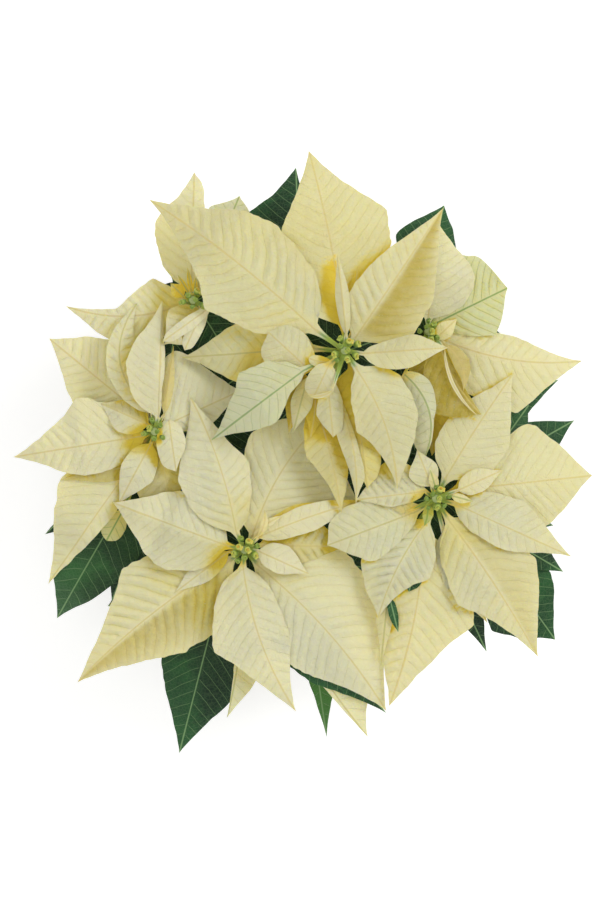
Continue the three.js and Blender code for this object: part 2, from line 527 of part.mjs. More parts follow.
function cyathiaOf(name) {
  const { at: [x, y], top, buds, spread } = HEADS[name];
  const floor = top + SEAT;
  const middle = new THREE.Vector3(x, y, floor + DOME.height / 2);
  const up = new THREE.Vector3(0, 0, 1);
  const foot = [new THREE.Vector3(x, y, floor), new THREE.Vector3(x, y, floor + DOME.height)];
  const dome = solidOf(barThrough(foot, up, [DOME.radius, DOME.topRadius], DOME.sides));
  const ring = Array.from({ length: buds }, (_, i) => {
    const angle = (2 * Math.PI * i) / buds;
    const lean = new THREE.Vector3(Math.cos(angle) * spread, Math.sin(angle) * spread, DOME.height);
    return budSolid(middle, lean.normalize());
  });
  return wasm.Manifold.union([dome, budSolid(middle, up), ...ring]);
}

// ---- Stem, soil and pot -------------------------------------------------------------------

function latheSolid(profile, sides) {
  const lathe = new THREE.LatheGeometry(profile.map(([r, z]) => new THREE.Vector2(r, z)), sides);
  return solidOf(lathe.rotateX(Math.PI / 2));
}

const inPot = (z) => THREE.MathUtils.lerp(POT.bottomRadius, POT.topRadius, z / POT.height) - POT.wall;

function pot() {
  const rimBottom = POT.height - POT.rimHeight;
  const outer = (z) => inPot(z) + POT.wall;
  const shell = latheSolid([
    [0, 0], [POT.bottomRadius, 0], [outer(rimBottom), rimBottom], [POT.rimRadius - 1.5, rimBottom],
    [POT.rimRadius, POT.height], [inPot(POT.height), POT.height], [inPot(POT.floor), POT.floor],
    [0, POT.floor],
  ], POT.sides);
  const drains = Array.from({ length: POT.drains }, (_, i) => {
    const angle = (2 * Math.PI * (i + 0.5)) / POT.drains;
    const [x, y] = [POT.drainCircle * Math.cos(angle), POT.drainCircle * Math.sin(angle)];
    return upright(x, y, -1, POT.floor + 1, POT.drainRadius, 12);
  });
  return shell.subtract(wasm.Manifold.union(drains));
}

function soil() {
  const bottom = POT.floor + SOIL.clearance;
  const body = latheSolid([
    [0, bottom], [inPot(bottom) - SOIL.clearance, bottom],
    [inPot(SOIL.top) - SOIL.clearance, SOIL.top], [inPot(SOIL.top) * 0.5, SOIL.top + SOIL.crown * 0.8],
    [0, SOIL.top + SOIL.crown],
  ], POT.sides);
  const hole = upright(
    0, 0, TRUNK.bottom - SOIL.stemHole, POT.height, TRUNK.radius + SOIL.stemHole, TRUNK.sides,
  );
  return body.subtract(hole);
}

function trunk() {
  const centres = [TRUNK.bottom, TRUNK.collar, TRUNK.top].map((z) => new THREE.Vector3(0, 0, z));
  const radii = [TRUNK.radius, TRUNK.radius, TRUNK.topRadius];
  return solidOf(barThrough(centres, new THREE.Vector3(0, 0, 1), radii, TRUNK.sides));
}

// ---- The part -----------------------------------------------------------------------------

const FINISHES = {
  bracts: { color: 0xe6e2b8, roughness: 0.6 },
  leafy_stem: { color: 0x2f5a3c, roughness: 0.5 },
  cyathia: { color: 0x8a9a3c, roughness: 0.45 },
  trunk: { color: 0x8a7a55, roughness: 0.8 },
  soil: { color: 0x3a2a20, roughness: 1 },
  pot: { color: 0xa9573a, roughness: 0.6 },
};

const part = new THREE.Group();

function add(name, finish, solid) {
  const material = new THREE.MeshStandardMaterial({ ...FINISHES[finish], metalness: 0 });
  const mesh = new THREE.Mesh(geometryFrom(solid), material);
  mesh.name = name;
  part.add(mesh);
}

for (const name of Object.keys(HEADS)) {
  add(`bracts_${name}`, "bracts", bractsOf(name));
  add(`cyathia_${name}`, "cyathia", cyathiaOf(name));
  add(`leafy_stem_${name}`, "leafy_stem", leafyStem(name));
}
add("trunk", "trunk", trunk());
add("soil", "soil", soil());
add("pot", "pot", pot());

export default part;
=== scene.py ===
import math

import bmesh
import bpy
import numpy as np
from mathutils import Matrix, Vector, noise


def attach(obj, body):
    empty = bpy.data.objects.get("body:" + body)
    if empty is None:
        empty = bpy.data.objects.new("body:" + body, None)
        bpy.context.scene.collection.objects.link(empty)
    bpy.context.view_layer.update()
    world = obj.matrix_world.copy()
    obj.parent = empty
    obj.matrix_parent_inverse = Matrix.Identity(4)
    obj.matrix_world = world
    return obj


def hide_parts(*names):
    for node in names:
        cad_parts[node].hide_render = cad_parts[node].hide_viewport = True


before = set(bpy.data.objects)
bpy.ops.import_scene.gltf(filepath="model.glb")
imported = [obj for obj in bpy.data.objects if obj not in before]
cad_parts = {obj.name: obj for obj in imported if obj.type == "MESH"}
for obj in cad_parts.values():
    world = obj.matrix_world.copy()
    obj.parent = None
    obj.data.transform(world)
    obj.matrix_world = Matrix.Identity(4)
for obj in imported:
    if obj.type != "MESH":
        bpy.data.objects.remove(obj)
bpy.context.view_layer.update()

# Sizes are in millimetres up to the last step of each mesh, where MM makes them metres.
MM = 0.001

# ---- Driving dimensions, the same as the CAD's ---------------------------------------------

POT = dict(height=130, bottom=52, top=68, rim=74, rim_height=24, wall=3.2, floor=4, drain=5, circle=30)
SOIL_TOP = 116
SOIL_CROWN = 5
TRUNK = dict(radius=6.4, bottom=60, collar=128, top=160, top_radius=5.4)
BRANCH = dict(radius=3.4, top_radius=2.7, outward=9)
SEAT = 0.3

# Laying blades over each other: the room under a wide blade and under a narrow one, how much less
# there is under a stalk, how fast a blade may climb, and the height map's cell and half width.
LAYER_GAP = 1.9
NARROW_GAP = 1.2
STALK_EASE = 0.4
SETTLE_SLOPE = 0.4
CELL = 2
REACH = 230

# Petioles: half width of a bract's, and how far each kind starts below its blade.
PETIOLE_HALF = 1.5
PETIOLE_DROP = 3
LEAF_PETIOLE_DROP = 14

# Head ends: how far the stem reaches past its petioles, and the room that cyathia take above it.
CORE_BELOW = 3
CORE_ABOVE = 2.5
BUD_LENGTH = 9
DOME_HEIGHT = 3.4

# Shares of a blade's length, and the half width there in each outline.
STATIONS = np.array([0, 0.2, 0.45, 0.58, 0.78, 1])
OUTLINES = {
    "T": [0.12, 0.76, 1.0, 0.66, 0.29, 0],      # toothed
    "O": [0.12, 0.84, 1.0, 0.86, 0.42, 0],      # ovate
    "S": [0.1, 0.58, 0.9, 1.0, 0.62, 0],        # shouldered
    "L": [0.2, 0.8, 1.0, 0.9, 0.5, 0],          # lance
    "B": [0.22, 0.96, 1.0, 0.82, 0.4, 0],       # broad
    "D": [0.3, 1.0, 0.58, 0.22, 0.14, 0],       # domed
    "G": [0.16, 0.88, 1.0, 0.9, 0.55, 0],       # of a green leaf
    "C": [0.12, 0.76, 0.98, 1.0, 0.42, 0],      # with a corner past the middle
    "W": [0.2, 1.0, 0.94, 0.74, 0.37, 0],       # widest near the base
    "N": [0.1, 0.42, 1.0, 0.86, 0.4, 0],        # narrow at the base
    "R": [0.3, 0.8, 1.0, 1.0, 0.88, 0],         # round
    "V": [0.1, 0.35, 0.5, 0.65, 1.0, 0],        # widest near the tip
}
# How sharp the corners of each outline are, from 0 to 1.
CORNERS = {"T": 0.6, "O": 0.12, "S": 0.4, "L": 0.0, "B": 0.25, "D": 0.4, "G": 0.4, "C": 0.7, "W": 0.2,
           "N": 0.1, "R": 0.0, "V": 0.1}

# A blade whose half width stays below NARROW settles by fewer points. RIPPLES run along each edge.
NARROW = 16
RIPPLES = 1.5

# Each head: its place in plan, how high its bracts start before they settle, how high its branch
# leaves the main stem, how many cyathia it has, spread how far, and how much paler its bracts are
# painted: painted light, which brightens the heads that lie lower, in the shade of the top one.
HEADS = {
    "a": dict(at=(29, 69), z=268, fork=152, buds=9, spread=7.6, pale=0),
    "b": dict(at=(88, 83), z=248, fork=137, buds=7, spread=6, pale=0.6),
    "c": dict(at=(93, -34), z=250, fork=147, buds=9, spread=7.6, pale=0.3),
    "d": dict(at=(-41, -70), z=242, fork=141, buds=9, spread=7.4, pale=0.55),
    "e": dict(at=(-104, 13), z=230, fork=149, buds=7, spread=6, pale=0.6),
    "f": dict(at=(-77, 105), z=226, fork=136, buds=6, spread=6, pale=0.85),
}


def bract(start, end, half, outline, bow, slopes, sides, wave, level, gold=0.0, green=0.0, root=0.2,
          ribs=0.8, shade=1.0, painted_half_shade=(0, 0)):
    """A bract: base and tip in plan, greatest half widths left and right, outlines of both edges, bow of
    the midrib, its slopes in degrees up at the base and down at the tip, the fall of both halves in
    degrees, ripple of the edge, level in the settling, how golden it is, its own tint and painted shade
    together, how green it is, or below 0 how brown with painted shade, how golden near its root, partly
    its own tint and partly painted shade, how strong its ribs are, how much golden painted shadow it
    takes where others shade it, and how much painted shade darkens its left and its right half."""
    return dict(start=start, end=end, half=half, outline=outline, bow=bow, slopes=slopes, sides=sides,
                wave=wave, level=level, gold=gold, tinge=green, root=root, ribs=ribs, shade=shade,
                painted_half_shade=painted_half_shade, leafy=False)


def leaf(start, end, half, z, level, outline="GG", young=0.0):
    """A green leaf: as a bract, with the height that its blade starts at and how young and lime it is."""
    return dict(start=start, end=end, half=half, outline=outline, bow=0, slopes=(2, 36), sides=(12, 12),
                wave=1.5, level=level, z=z, gold=0.0, tinge=young, root=0.0, ribs=1.0, shade=1 - young,
                painted_half_shade=(0, 0), leafy=True)


BRACTS = {
    "a": [
        bract((29, 88), (4, 210), (38, 43), "OC", -2, (16, 26), (-6, 12), 2, 40, gold=0.13, root=0.3,
              ribs=0.5),
        bract((7, 85), (-108, 176), (39, 37), "TO", -3, (14, 26), (12, 6), 2, 41, gold=0.05, ribs=1.5),
        bract((37, 79), (98, 169), (21, 32), "WW", 0, (24, 16), (6, -14), 1.5, 42, gold=0.07, ribs=1.8,
              painted_half_shade=(0, 0.75)),
        bract((7, 71), (-85, 65), (24, 24), "OO", 0, (4, 24), (20, -10), 2, 36, gold=0.15, green=0.12,
              shade=0.6),
        bract((35, 57), (45, -27), (13, 18), "RB", 0, (-8, 26), (10, 16), 1, 35, gold=0.5, shade=0.4),
        bract((3, 50), (-7, 12), (8, 7), "OO", 0, (-10, 26), (16, 12), 1, 37, gold=0.1, green=0.2,
              shade=0.3),
        bract((17, 49), (37, -38), (6, 9), "VO", 7, (4, 22), (16, 20), 1.5, 38, gold=0.05, shade=0.6),
        bract((17, 49), (21, 9), (9, 10), "RS", 0, (0, 20), (12, 12), 1, 38.5, shade=0.6),
        bract((0, 55), (-64, 7), (17, 26), "NT", 0, (14, 30), (6, 14), 1.5, 43, green=0.45, ribs=0.5),
        bract((38, 55), (66, -27), (25, 20), "BT", 6, (18, 24), (14, 8), 1, 44),
        bract((42, 67), (101, 71), (11, 13), "SO", 0, (26, 10), (-14, -4), 1, 45),
        bract((18, 59), (7, 36), (10.5, 10), "RR", 0, (22, 34), (10, 10), 0.5, 46),
        bract((8, 54), (5, 8), (10, 9), "OO", 2, (0, 26), (10, 10), 1, 36.5, gold=0.8, green=-0.3),
        bract((0, 54), (-10, 12), (9, 8), "OO", 0, (0, 26), (10, 10), 1, 36, gold=0.9, green=-0.6),
        bract((8, 34), (27, -44), (12, 17), "GT", 2, (4, 22), (14, 12), 1, 34, gold=0.2, green=-0.2,
              root=1.6),
        bract((4, 56), (-24, 82), (18, 16), "RR", 0, (20, 30), (14, 4), 1, 42, gold=0.05),
        bract((30, 81), (24, 136), (4.5, 5), "LL", 0, (18, 12), (40, 40), 0.3, 42),
        bract((34, 82), (38, 128), (6, 6), "LL", 0, (16, 12), (20, 20), 0.3, 41.5, gold=0.7),
        bract((19, 61), (4, 64), (4, 4), "RR", 1, (14, 20), (10, 10), 0.3, 45, gold=0.15),
        bract((20, 41), (3, 38), (1.7, 1.4), "LL", 2, (6, 10), (10, 10), 0.3, 47),
    ],
    "b": [
        bract((98, 78), (197, 63), (17, 36), "OC", -7, (12, 28), (4, 14), 2.5, 24, gold=0.1),
        bract((95, 90), (144, 114), (36, 26), "RS", 0, (18, 24), (6, -6), 1.5, 25, gold=0.2, green=0.75,
              ribs=1.5),
        bract((88, 93), (95, 160), (24, 30), "OO", 0, (26, 14), (0, 12), 1.5, 27, root=0, ribs=0.5,
              shade=0.15),
        bract((96, 74), (125, 25), (4, 27), "LS", -4, (2, 32), (10, 14), 1, 30, green=-0.9, ribs=1.3),
        bract((71, 53), (85, -7), (10, 14), "DR", 11, (4, 26), (18, 16), 1, 31, gold=0.08, green=0.35,
              root=0.1),
        bract((86, 72), (91, -4), (17, 16), "VO", 2, (2, 26), (16, 16), 1, 29, green=-0.5, ribs=1.3),
        bract((93, 78), (108, 92), (6, 6), "OO", 0, (24, 10), (8, 8), 0.3, 33, gold=0.25),
        bract((99, 71), (125, 22), (1.3, 1.3), "LL", -6.5, (8, 30), (10, 10), 0.2, 33),
        bract((101, 73), (112, 41), (6, 5), "OO", 5, (10, 26), (10, 10), 0.5, 32, gold=0.2, green=-0.6),
    ],
    "c": [
        bract((85, -60), (61, -181), (42, 25), "TG", 5, (4, 24), (12, 16), 2, 20, gold=0.1, ribs=1.3),
        bract((62, -78), (55, -152), (6, 7), "OO", 0, (0, 24), (10, 10), 1, 20.5, gold=0.3, green=0.2),
        bract((99, -58), (130, -122), (15, 15), "OO", 0, (4, 24), (8, 8), 1, 21),
        bract((103, -50), (166, -146), (34, 30), "OT", 2, (8, 26), (14, 8), 1.5, 22, root=0.7, shade=1.5,
              painted_half_shade=(0.3, 0)),
        bract((87, -50), (53, -118), (24, 25), "TS", -4, (12, 24), (8, 14), 1.5, 28, ribs=1.8, green=0.06,
              painted_half_shade=(0.12, 0)),
        bract((80, -43), (17, -67), (22, 21), "SR", 0, (12, 22), (6, 6), 1, 30, green=0.12, shade=0.5),
        bract((107, -38), (189, -75), (21, 15), "OO", 0, (16, 24), (8, 16), 1.5, 27),
        bract((108, -28), (204, -18), (40, 33), "SS", 0, (12, 26), (8, 10), 2.5, 25, gold=0.1),
        bract((101, -18), (148, 54), (20, 27), "BB", 1, (22, 16), (12, 4), 1.5, 29, gold=0.07, ribs=0.4),
        bract((85, -29), (37, -35), (8, 25), "OO", 0, (14, 20), (10, 14), 1.5, 31, ribs=1.8),
        bract((71, -44), (53, -36), (3, 3), "LL", -2, (6, 16), (14, 14), 0.5, 30.5, green=-0.4),
        bract((109, -28), (140, -14), (9, 8), "OO", 0, (24, 6), (8, 8), 0.5, 33, gold=0.1),
        bract((90, -25), (80, 0), (12, 9), "OO", 0, (30, 10), (6, 6), 0.3, 33),
        bract((93, -27), (89, -14), (3.5, 3.5), "OO", 0, (30, 10), (12, 12), 0.2, 34, gold=0.4, green=0.35),
        bract((104, -32), (119, -36), (3, 3.5), "OO", 0, (24, 16), (12, 12), 0.2, 34, gold=0.3, green=0.3),
        bract((87, -38), (85, -53), (4, 3.5), "LL", 1, (16, 26), (14, 14), 0.2, 34, gold=0.3, green=1.2),
    ],
    "d": [
        bract((-43, -84), (-54, -190), (20, 3), "SO", 4, (-8, 22), (10, 10), 1, 10, green=0.25, shade=0.4),
        bract((-31, -82), (46, -204), (25, 8), "VT", -4, (-8, 22), (8, 8), 1, 10, green=0.15, shade=0,
              root=0),
        bract((-53, -79), (-160, -165), (38, 38), "WT", -5, (6, 28), (8, 12), 2, 17, gold=0.14, root=0.7,
              ribs=1.8, shade=0.1,
              painted_half_shade=(0.6, 0.05)),
        bract((-31, -82), (59, -185), (48, 36), "WO", 6, (6, 26), (6, 8), 2, 18, root=0.3, shade=0.2),
        bract((-53, -72), (-91, -101), (8, 9), "OO", 0, (8, 20), (10, 10), 0.5, 19),
        bract((-42, -83), (-5, -185), (21, 33), "OT", -6, (12, 28), (12, 10), 1.5, 22),
        bract((-54, -67), (-134, -37), (31, 25), "OO", 0, (16, 26), (12, 8), 1.5, 23, painted_half_shade=(0.12, 0)),
        bract((-35, -59), (19, 25), (32, 57), "SS", 7, (10, 16), (8, 12), 2, 23, gold=0.12, shade=0.2),
        bract((-47, -57), (-79, 37), (31, 20), "OT", -4, (16, 20), (10, 16), 2, 24, root=0.4, ribs=1.2,
              shade=0.2),
        bract((-28, -58), (24, -35), (9, 6), "OO", 0, (10, 12), (16, 16), 0.5, 26.6, gold=0.75, green=-0.2),
        bract((-31, -61), (46, -35), (9, 10), "LO", 2, (12, 12), (16, 16), 0.5, 27, gold=0.05),
        bract((-31, -71), (4, -87), (12, 9), "OO", 0, (20, 14), (8, 8), 0.5, 26),
        bract((-34, -61), (-14, -46), (3, 3), "LL", 2, (26, 20), (20, 20), 0.3, 28, gold=0.2),
        bract((-31, -60), (-27, -42), (2.5, 2.5), "LL", -2, (30, 10), (20, 20), 0.3, 29, gold=0.35),
        bract((-30, -67), (32, -68), (18, 12), "SO", 0, (6, 24), (8, 20), 1.5, 25, gold=0.35, green=-0.2,
              ribs=2.8),
    ],
    "e": [
        bract((-111, 3), (-181, -95), (10, 35), "OB", 0, (4, 24), (34, 8), 2, 12, gold=0.14, shade=0.5),
        bract((-110, 22), (-180, 79), (26, 29), "OS", 0, (10, 28), (10, 6), 2, 13, root=0.1, ribs=1.5,
              shade=0.12),
        bract((-106, 27), (-116, 105), (10, 13), "GG", 18, (12, 22), (12, 12), 1.5, 24.5, gold=0.1,
              green=0.12, ribs=2.6, shade=0.5),
        bract((-95, 18), (-44, 42), (46, 13), "OO", 0, (8, 22), (6, 14), 1.5, 23.8, root=0, ribs=1.6,
              shade=0.12),
        bract((-101, 4), (-92, -45), (14, 22), "OR", 0, (0, 26), (14, 14), 1, 14, gold=0.35, green=-0.25,
              shade=0.5),
        bract((-112, 10), (-205, -5), (21, 34), "OT", 0, (14, 26), (8, 8), 2, 16),
        bract((-107, 4), (-130, -38), (13, 11), "OO", 0, (14, 20), (8, 8), 1, 17),
        bract((-101, 24), (-99, 105), (24, 3), "OL", 0, (20, 14), (8, 50), 1, 25, root=0.1, shade=0.5),
        bract((-97, 26), (-91, 73), (4, 4), "OO", 0, (20, 14), (30, 30), 0.5, 24, gold=0.3, green=-0.3),
        bract((-109, 18), (-143, 33), (13, 11), "OO", 0, (18, 20), (8, 8), 0.5, 19, gold=0.1, root=0.5,
              ribs=1.5, painted_half_shade=(0, 0.4)),
        bract((-94, 21), (-89, -15), (10, 11), "OR", 0, (26, 14), (8, 14), 0.5, 27),
        bract((-128, -44), (-139, -64), (8, 8), "RR", 0, (0, 20), (8, 8), 0.5, 10, gold=0.4, green=0.8,
              shade=0.2),
        bract((-110, -9), (-171, -21), (8, 8), "OO", 0, (4, 20), (8, 8), 0.5, 12.5, gold=0.4, green=-0.5,
              ribs=1.5),
    ],
    "f": [
        bract((-79, 114), (-77, 197), (27, 8), "CR", 0, (14, 26), (12, 8), 2, 20, shade=0.25, root=0.1),
        bract((-73, 113), (-45, 180), (17, 16), "VR", 0, (10, 20), (10, 8), 1, 19, green=0.4, shade=0.4,
              root=0.1),
        bract((-84, 103), (-168, 102), (21, 24), "OD", 8, (18, 30), (22, 4), 4, 24, gold=0.05, root=0.2,
              shade=0.4, ribs=1.8),
        bract((-72, 98), (-97, 74), (12, 15), "SO", 0, (18, 22), (30, 14), 1, 26, green=-0.25, ribs=1.8,
              shade=0.5),
        bract((-66, 99), (-98, 76), (5, 4.5), "RR", 0, (14, 22), (24, 24), 0.5, 27.5, root=0, shade=0.3),
        bract((-69, 100), (-83, 70), (6, 5), "RR", 0, (10, 30), (20, 10), 0.5, 27.2, root=0, shade=0.3),
        bract((-80, 110), (-88, 123), (1.8, 1.8), "LL", 0, (40, 30), (10, 10), 0.1, 27, gold=0.4,
              green=0.3),
        bract((-84, 108), (-93, 117), (5, 5), "OO", 0, (30, 20), (10, 10), 0.1, 26.5, gold=0.4, green=0.2),
        bract((-78, 110), (-81, 128), (1.8, 1.8), "LL", 0, (40, 30), (10, 10), 0.1, 27.1, gold=0.4,
              green=0.2),
        bract((-76, 110), (-75, 121), (1.8, 1.8), "LL", 0, (50, 30), (10, 10), 0.1, 27.2, gold=0.5,
              green=0.3),
    ],
}

LEAVES = {
    "a": [
        leaf((27, 73), (-32, 112), (22, 22), 240, 8),
        leaf((34, 70), (77, 78), (22, 20), 240, 8),
        leaf((30, 63), (26, 8), (20, 20), 240, 8),
        leaf((-2, 112), (-5, 202), (43, 14), 208, 6, "CT"),
        leaf((8, 76), (-66, 90), (24, 24), 206, 5),
        leaf((38, 56), (66, -14), (22, 22), 206, 3),
        leaf((20, 62), (-24, 12), (24, 24), 200, 3),
    ],
    "b": [
        leaf((93, 81), (152, 68), (20, 20), 222, 8),
        leaf((84, 108), (101, 175), (28, 18), 202, 6, "SG"),
        leaf((112, 22), (183, 50), (20, 17), 200, 5, "OO"),
        leaf((82, 70), (60, 14), (20, 20), 196, 2),
    ],
    "c": [
        leaf((95, -39), (128, -92), (22, 22), 224, 8),
        leaf((92, -29), (114, 38), (22, 20), 224, 8),
        leaf((88, -29), (72, 26), (20, 20), 222, 7),
        leaf((87, -36), (26, -14), (22, 22), 222, 6),
        leaf((112, -24), (194, 21), (20, 20), 210, 6),
        leaf((127, -14), (161, 32), (12, 15), 214, 7),
        leaf((114, -38), (179, -54), (16, 16), 204, 5),
        leaf((120, -48), (186, -87), (15, 15), 200, 5),
        leaf((136, -74), (181, -136), (25, 33), 194, 4, "OS"),
        leaf((88, -52), (132, -145), (15, 11), 196, 2),
        leaf((74, -40), (16, -62), (22, 22), 196, 1),
        leaf((86, -58), (74.5, -99.5), (8, 8), 236, 21.5, "RR"),
        leaf((61, -104), (67, -128), (3, 3.5), 234, 21.6),
    ],
    "d": [
        leaf((-39, -66), (-2, -16), (22, 22), 214, 8),
        leaf((-35, -72), (58, -86), (28, 24), 214, 7),
        leaf((-47, -68), (-106, -52), (22, 22), 212, 7),
        leaf((-42, -74), (-40, -136), (22, 22), 214, 8),
        leaf((-60, -106), (-89, -218), (34, 29), 194, 4, "BB"),
        leaf((-24, -92), (59, -187), (14, 29), 198, 10.5, "TO"),
        leaf((6, -130), (17, -206), (15, 7), 190, 3, "TT", young=0.8),
        leaf((-60, -78), (-140, -112), (24, 28), 198, 3),
        leaf((-28, -56), (40, -20), (26, 26), 188, 1),
        leaf((-46, -50), (-60, 20), (24, 24), 194, 2),
    ],
    "e": [
        leaf((-103, 9), (-96, -52), (22, 22), 202, 7),
        leaf((-105, 17), (-114, 76), (20, 20), 202, 7),
        leaf((-99, 17), (-36, 58), (24, 24), 200, 6),
        leaf((-116, -18), (-177, -121), (28, 32), 192, 5, young=0.12),
        leaf((-98, -14), (-137, -108), (22, 22), 184, 4),
        leaf((-122, -4), (-184, -60), (22, 5), 196, 6),
        leaf((-120, 26), (-160, 50), (20, 20), 190, 4),
        leaf((-86, 12), (-24, 30), (25, 25), 196, 3),
    ],
    "f": [
        leaf((-74, 101), (-42, 50), (20, 34), 200, 7),
        leaf((-78, 110), (-72, 166), (20, 20), 198, 7),
        leaf((-66, 118), (-38, 164), (18, 18), 190, 4),
        leaf((-88, 98), (-100, 30), (16, 14), 204, 7.5),
        leaf((-94, 98), (-146, 90), (20, 13), 190, 3),
    ],
}

# ---- Small helpers -------------------------------------------------------------------------

# A curve's last slope, as a share of the straight one, and what makes noise span about -1 to 1.
END_SLOPE = 0.6
CLOUD_GAIN = 1.6
SEED_STEPS = (7.31, 3.17, 5.73)


def tangent(degrees):
    return math.tan(math.radians(degrees))


def smooth(low, high, value):
    """0 up to low, 1 from high, an even S between."""
    x = np.clip((value - low) / (high - low), 0, 1)
    return x * x * (3 - 2 * x)


def eased(xs, ys, x):
    """A curve through given points that never swings past them."""
    xs = np.asarray(xs, float)
    ys = np.asarray(ys, float)
    steps = np.diff(xs)
    slopes = np.diff(ys) / steps
    turns = np.zeros(len(xs))
    for i in range(1, len(xs) - 1):
        if slopes[i - 1] * slopes[i] > 0:
            turns[i] = 2 * slopes[i - 1] * slopes[i] / (slopes[i - 1] + slopes[i])
    turns[0] = slopes[0]
    turns[-1] = slopes[-1] * END_SLOPE
    i = np.clip(np.searchsorted(xs, x, side="right") - 1, 0, len(steps) - 1)
    h = steps[i]
    u = (x - xs[i]) / h
    return (ys[i] * (1 + 2 * u) * (1 - u) ** 2 + turns[i] * h * u * (1 - u) ** 2
            + ys[i + 1] * u * u * (3 - 2 * u) + turns[i + 1] * h * u * u * (u - 1))


def clouds(points, size, seed):
    """Smooth noise of about -1 to 1 at points in millimetres, with lumps of a size."""
    shift = Vector([seed * step for step in SEED_STEPS])
    flat = points.reshape(-1, 3) / size
    values = [noise.noise(Vector(p) + shift) for p in flat]
    return np.array(values).reshape(points.shape[:-1]) * CLOUD_GAIN


class Shell:
    """Collects vertices, faces, and the vein and tone of each vertex, for one mesh."""

    def __init__(self):
        self.points = []
        self.veins = []
        self.tones = []
        self.faces = []
        self.count = 0

    def add(self, points, faces, veins=None, tones=None):
        blank = np.zeros((len(points), 3))
        self.points.append(points)
        self.veins.append(blank if veins is None else veins)
        self.tones.append(blank if tones is None else tones)
        self.faces.extend((np.asarray(faces) + self.count).tolist())
        self.count += len(points)

    def build(self, name, crease=50):
        mesh = bpy.data.meshes.new(name)
        mesh.from_pydata((np.concatenate(self.points) * MM).tolist(), [], self.faces)
        for key, rows in (("vein", self.veins), ("tone", self.tones)):
            layer = mesh.attributes.new(key, "FLOAT_VECTOR", "POINT")
            layer.data.foreach_set("vector", np.concatenate(rows).astype(np.float32).ravel())
        mesh.shade_smooth()
        mesh.set_sharp_from_angle(angle=math.radians(crease))
        mesh.update()
        piece = bpy.data.objects.new(name, mesh)
        bpy.context.scene.collection.objects.link(piece)
        return piece


def grid_faces(rows, columns, closed=False):
    """Quads over a grid of points, row by row. A closed grid joins its last column to its first."""
    i = np.arange(rows - 1)[:, None]
    j = np.arange(columns if closed else columns - 1)[None, :]
    k = (j + 1) % columns
    a = i * columns + j
    b = i * columns + k
    return np.stack([a, b, b + columns, a + columns], axis=-1).reshape(-1, 4)


def tube(shell, centres, radii, sides=12, tone=(0, 0, 0)):
    """A closed round tube along centres, with a radius at each."""
    centres = np.asarray(centres, float)
    along = np.gradient(centres, axis=0)
    along /= np.linalg.norm(along, axis=1, keepdims=True)
    start = np.array([1.0, 0, 0]) if abs(along[0][0]) < 0.9 else np.array([0, 1.0, 0])
    rings = []
    across = start
    for centre, way, radius in zip(centres, along, radii):
        across = across - way * (across @ way)
        across /= np.linalg.norm(across)
        up = np.cross(way, across)
        angle = np.arange(sides) * 2 * math.pi / sides
        rings.append(centre + radius * (np.cos(angle)[:, None] * across + np.sin(angle)[:, None] * up))
    points = np.concatenate([*rings, centres[:1], centres[-1:]])
    faces = grid_faces(len(rings), sides, closed=True).tolist()
    first = len(points) - 2
    last_ring = (len(rings) - 1) * sides
    tones = np.tile(np.asarray(tone, float), (len(points), 1))
    shell.add(points, faces, tones=tones)
    base = shell.count - len(points)
    for j in range(sides):
        k = (j + 1) % sides
        shell.faces.append([base + k, base + j, base + first])
        shell.faces.append([base + last_ring + j, base + last_ring + k, base + first + 1])


def bezier(points, steps):
    """Points along a Bezier curve of any order."""
    u = np.linspace(0, 1, steps)[:, None]
    order = len(points) - 1
    return sum(math.comb(order, k) * u ** k * (1 - u) ** (order - k) * np.asarray(p, float)
               for k, p in enumerate(points))


def lathe(shell, profile, sides):
    """A closed round shape from its axis, up its profile and back to its axis."""
    profile = np.asarray(profile, float)
    inner = profile[1:-1]
    angle = np.arange(sides) * 2 * math.pi / sides
    ring = np.stack([np.cos(angle), np.sin(angle)], axis=1)
    points = [np.column_stack([ring * r, np.full(sides, z)]) for r, z in inner]
    ends = [[0, 0, profile[0][1]], [0, 0, profile[-1][1]]]
    faces = grid_faces(len(inner), sides, closed=True).tolist()
    shell.add(np.concatenate([*points, ends]), faces)
    base = shell.count - len(inner) * sides - 2
    last = base + (len(inner) - 1) * sides
    for j in range(sides):
        k = (j + 1) % sides
        shell.faces.append([base + k, base + j, shell.count - 2])
        shell.faces.append([last + j, last + k, shell.count - 1])


# ---- Blades --------------------------------------------------------------------------------

# A finished outline has two more stations, near the base and near the tip: how far the first has
# widened towards the next, and how wide the last is against the one before it.
FINE_STATIONS = [0, 0.07, 0.2, 0.45, 0.58, 0.78, 0.9, 1]
BASE_FILL = 0.55
SLIM_TIP = 0.4
ROUND_TIP = 0.72

# How far a margin strays, as a share of the half width, and over what length. The other margin reads
# the same noise this far away.
MARGIN_WAVES = ((0.03, 11), (0.018, 4.5))
OTHER_MARGIN = 90


def blade_length(blade):
    return math.dist(blade["start"], blade["end"])


def fine_outline(key, s):
    """The CAD's outline, rounder at its base, drawn out at its tip and with softer corners."""
    o = OUTLINES[key]
    shoulder = o[0] + (o[1] - o[0]) * BASE_FILL
    tip = o[4] * (ROUND_TIP if key == "R" else SLIM_TIP)
    shares = [o[0], shoulder, o[1], o[2], o[3], o[4], tip, 0]
    soft = eased(FINE_STATIONS, shares, s)
    return soft + (np.interp(s, FINE_STATIONS, shares) - soft) * CORNERS[key]


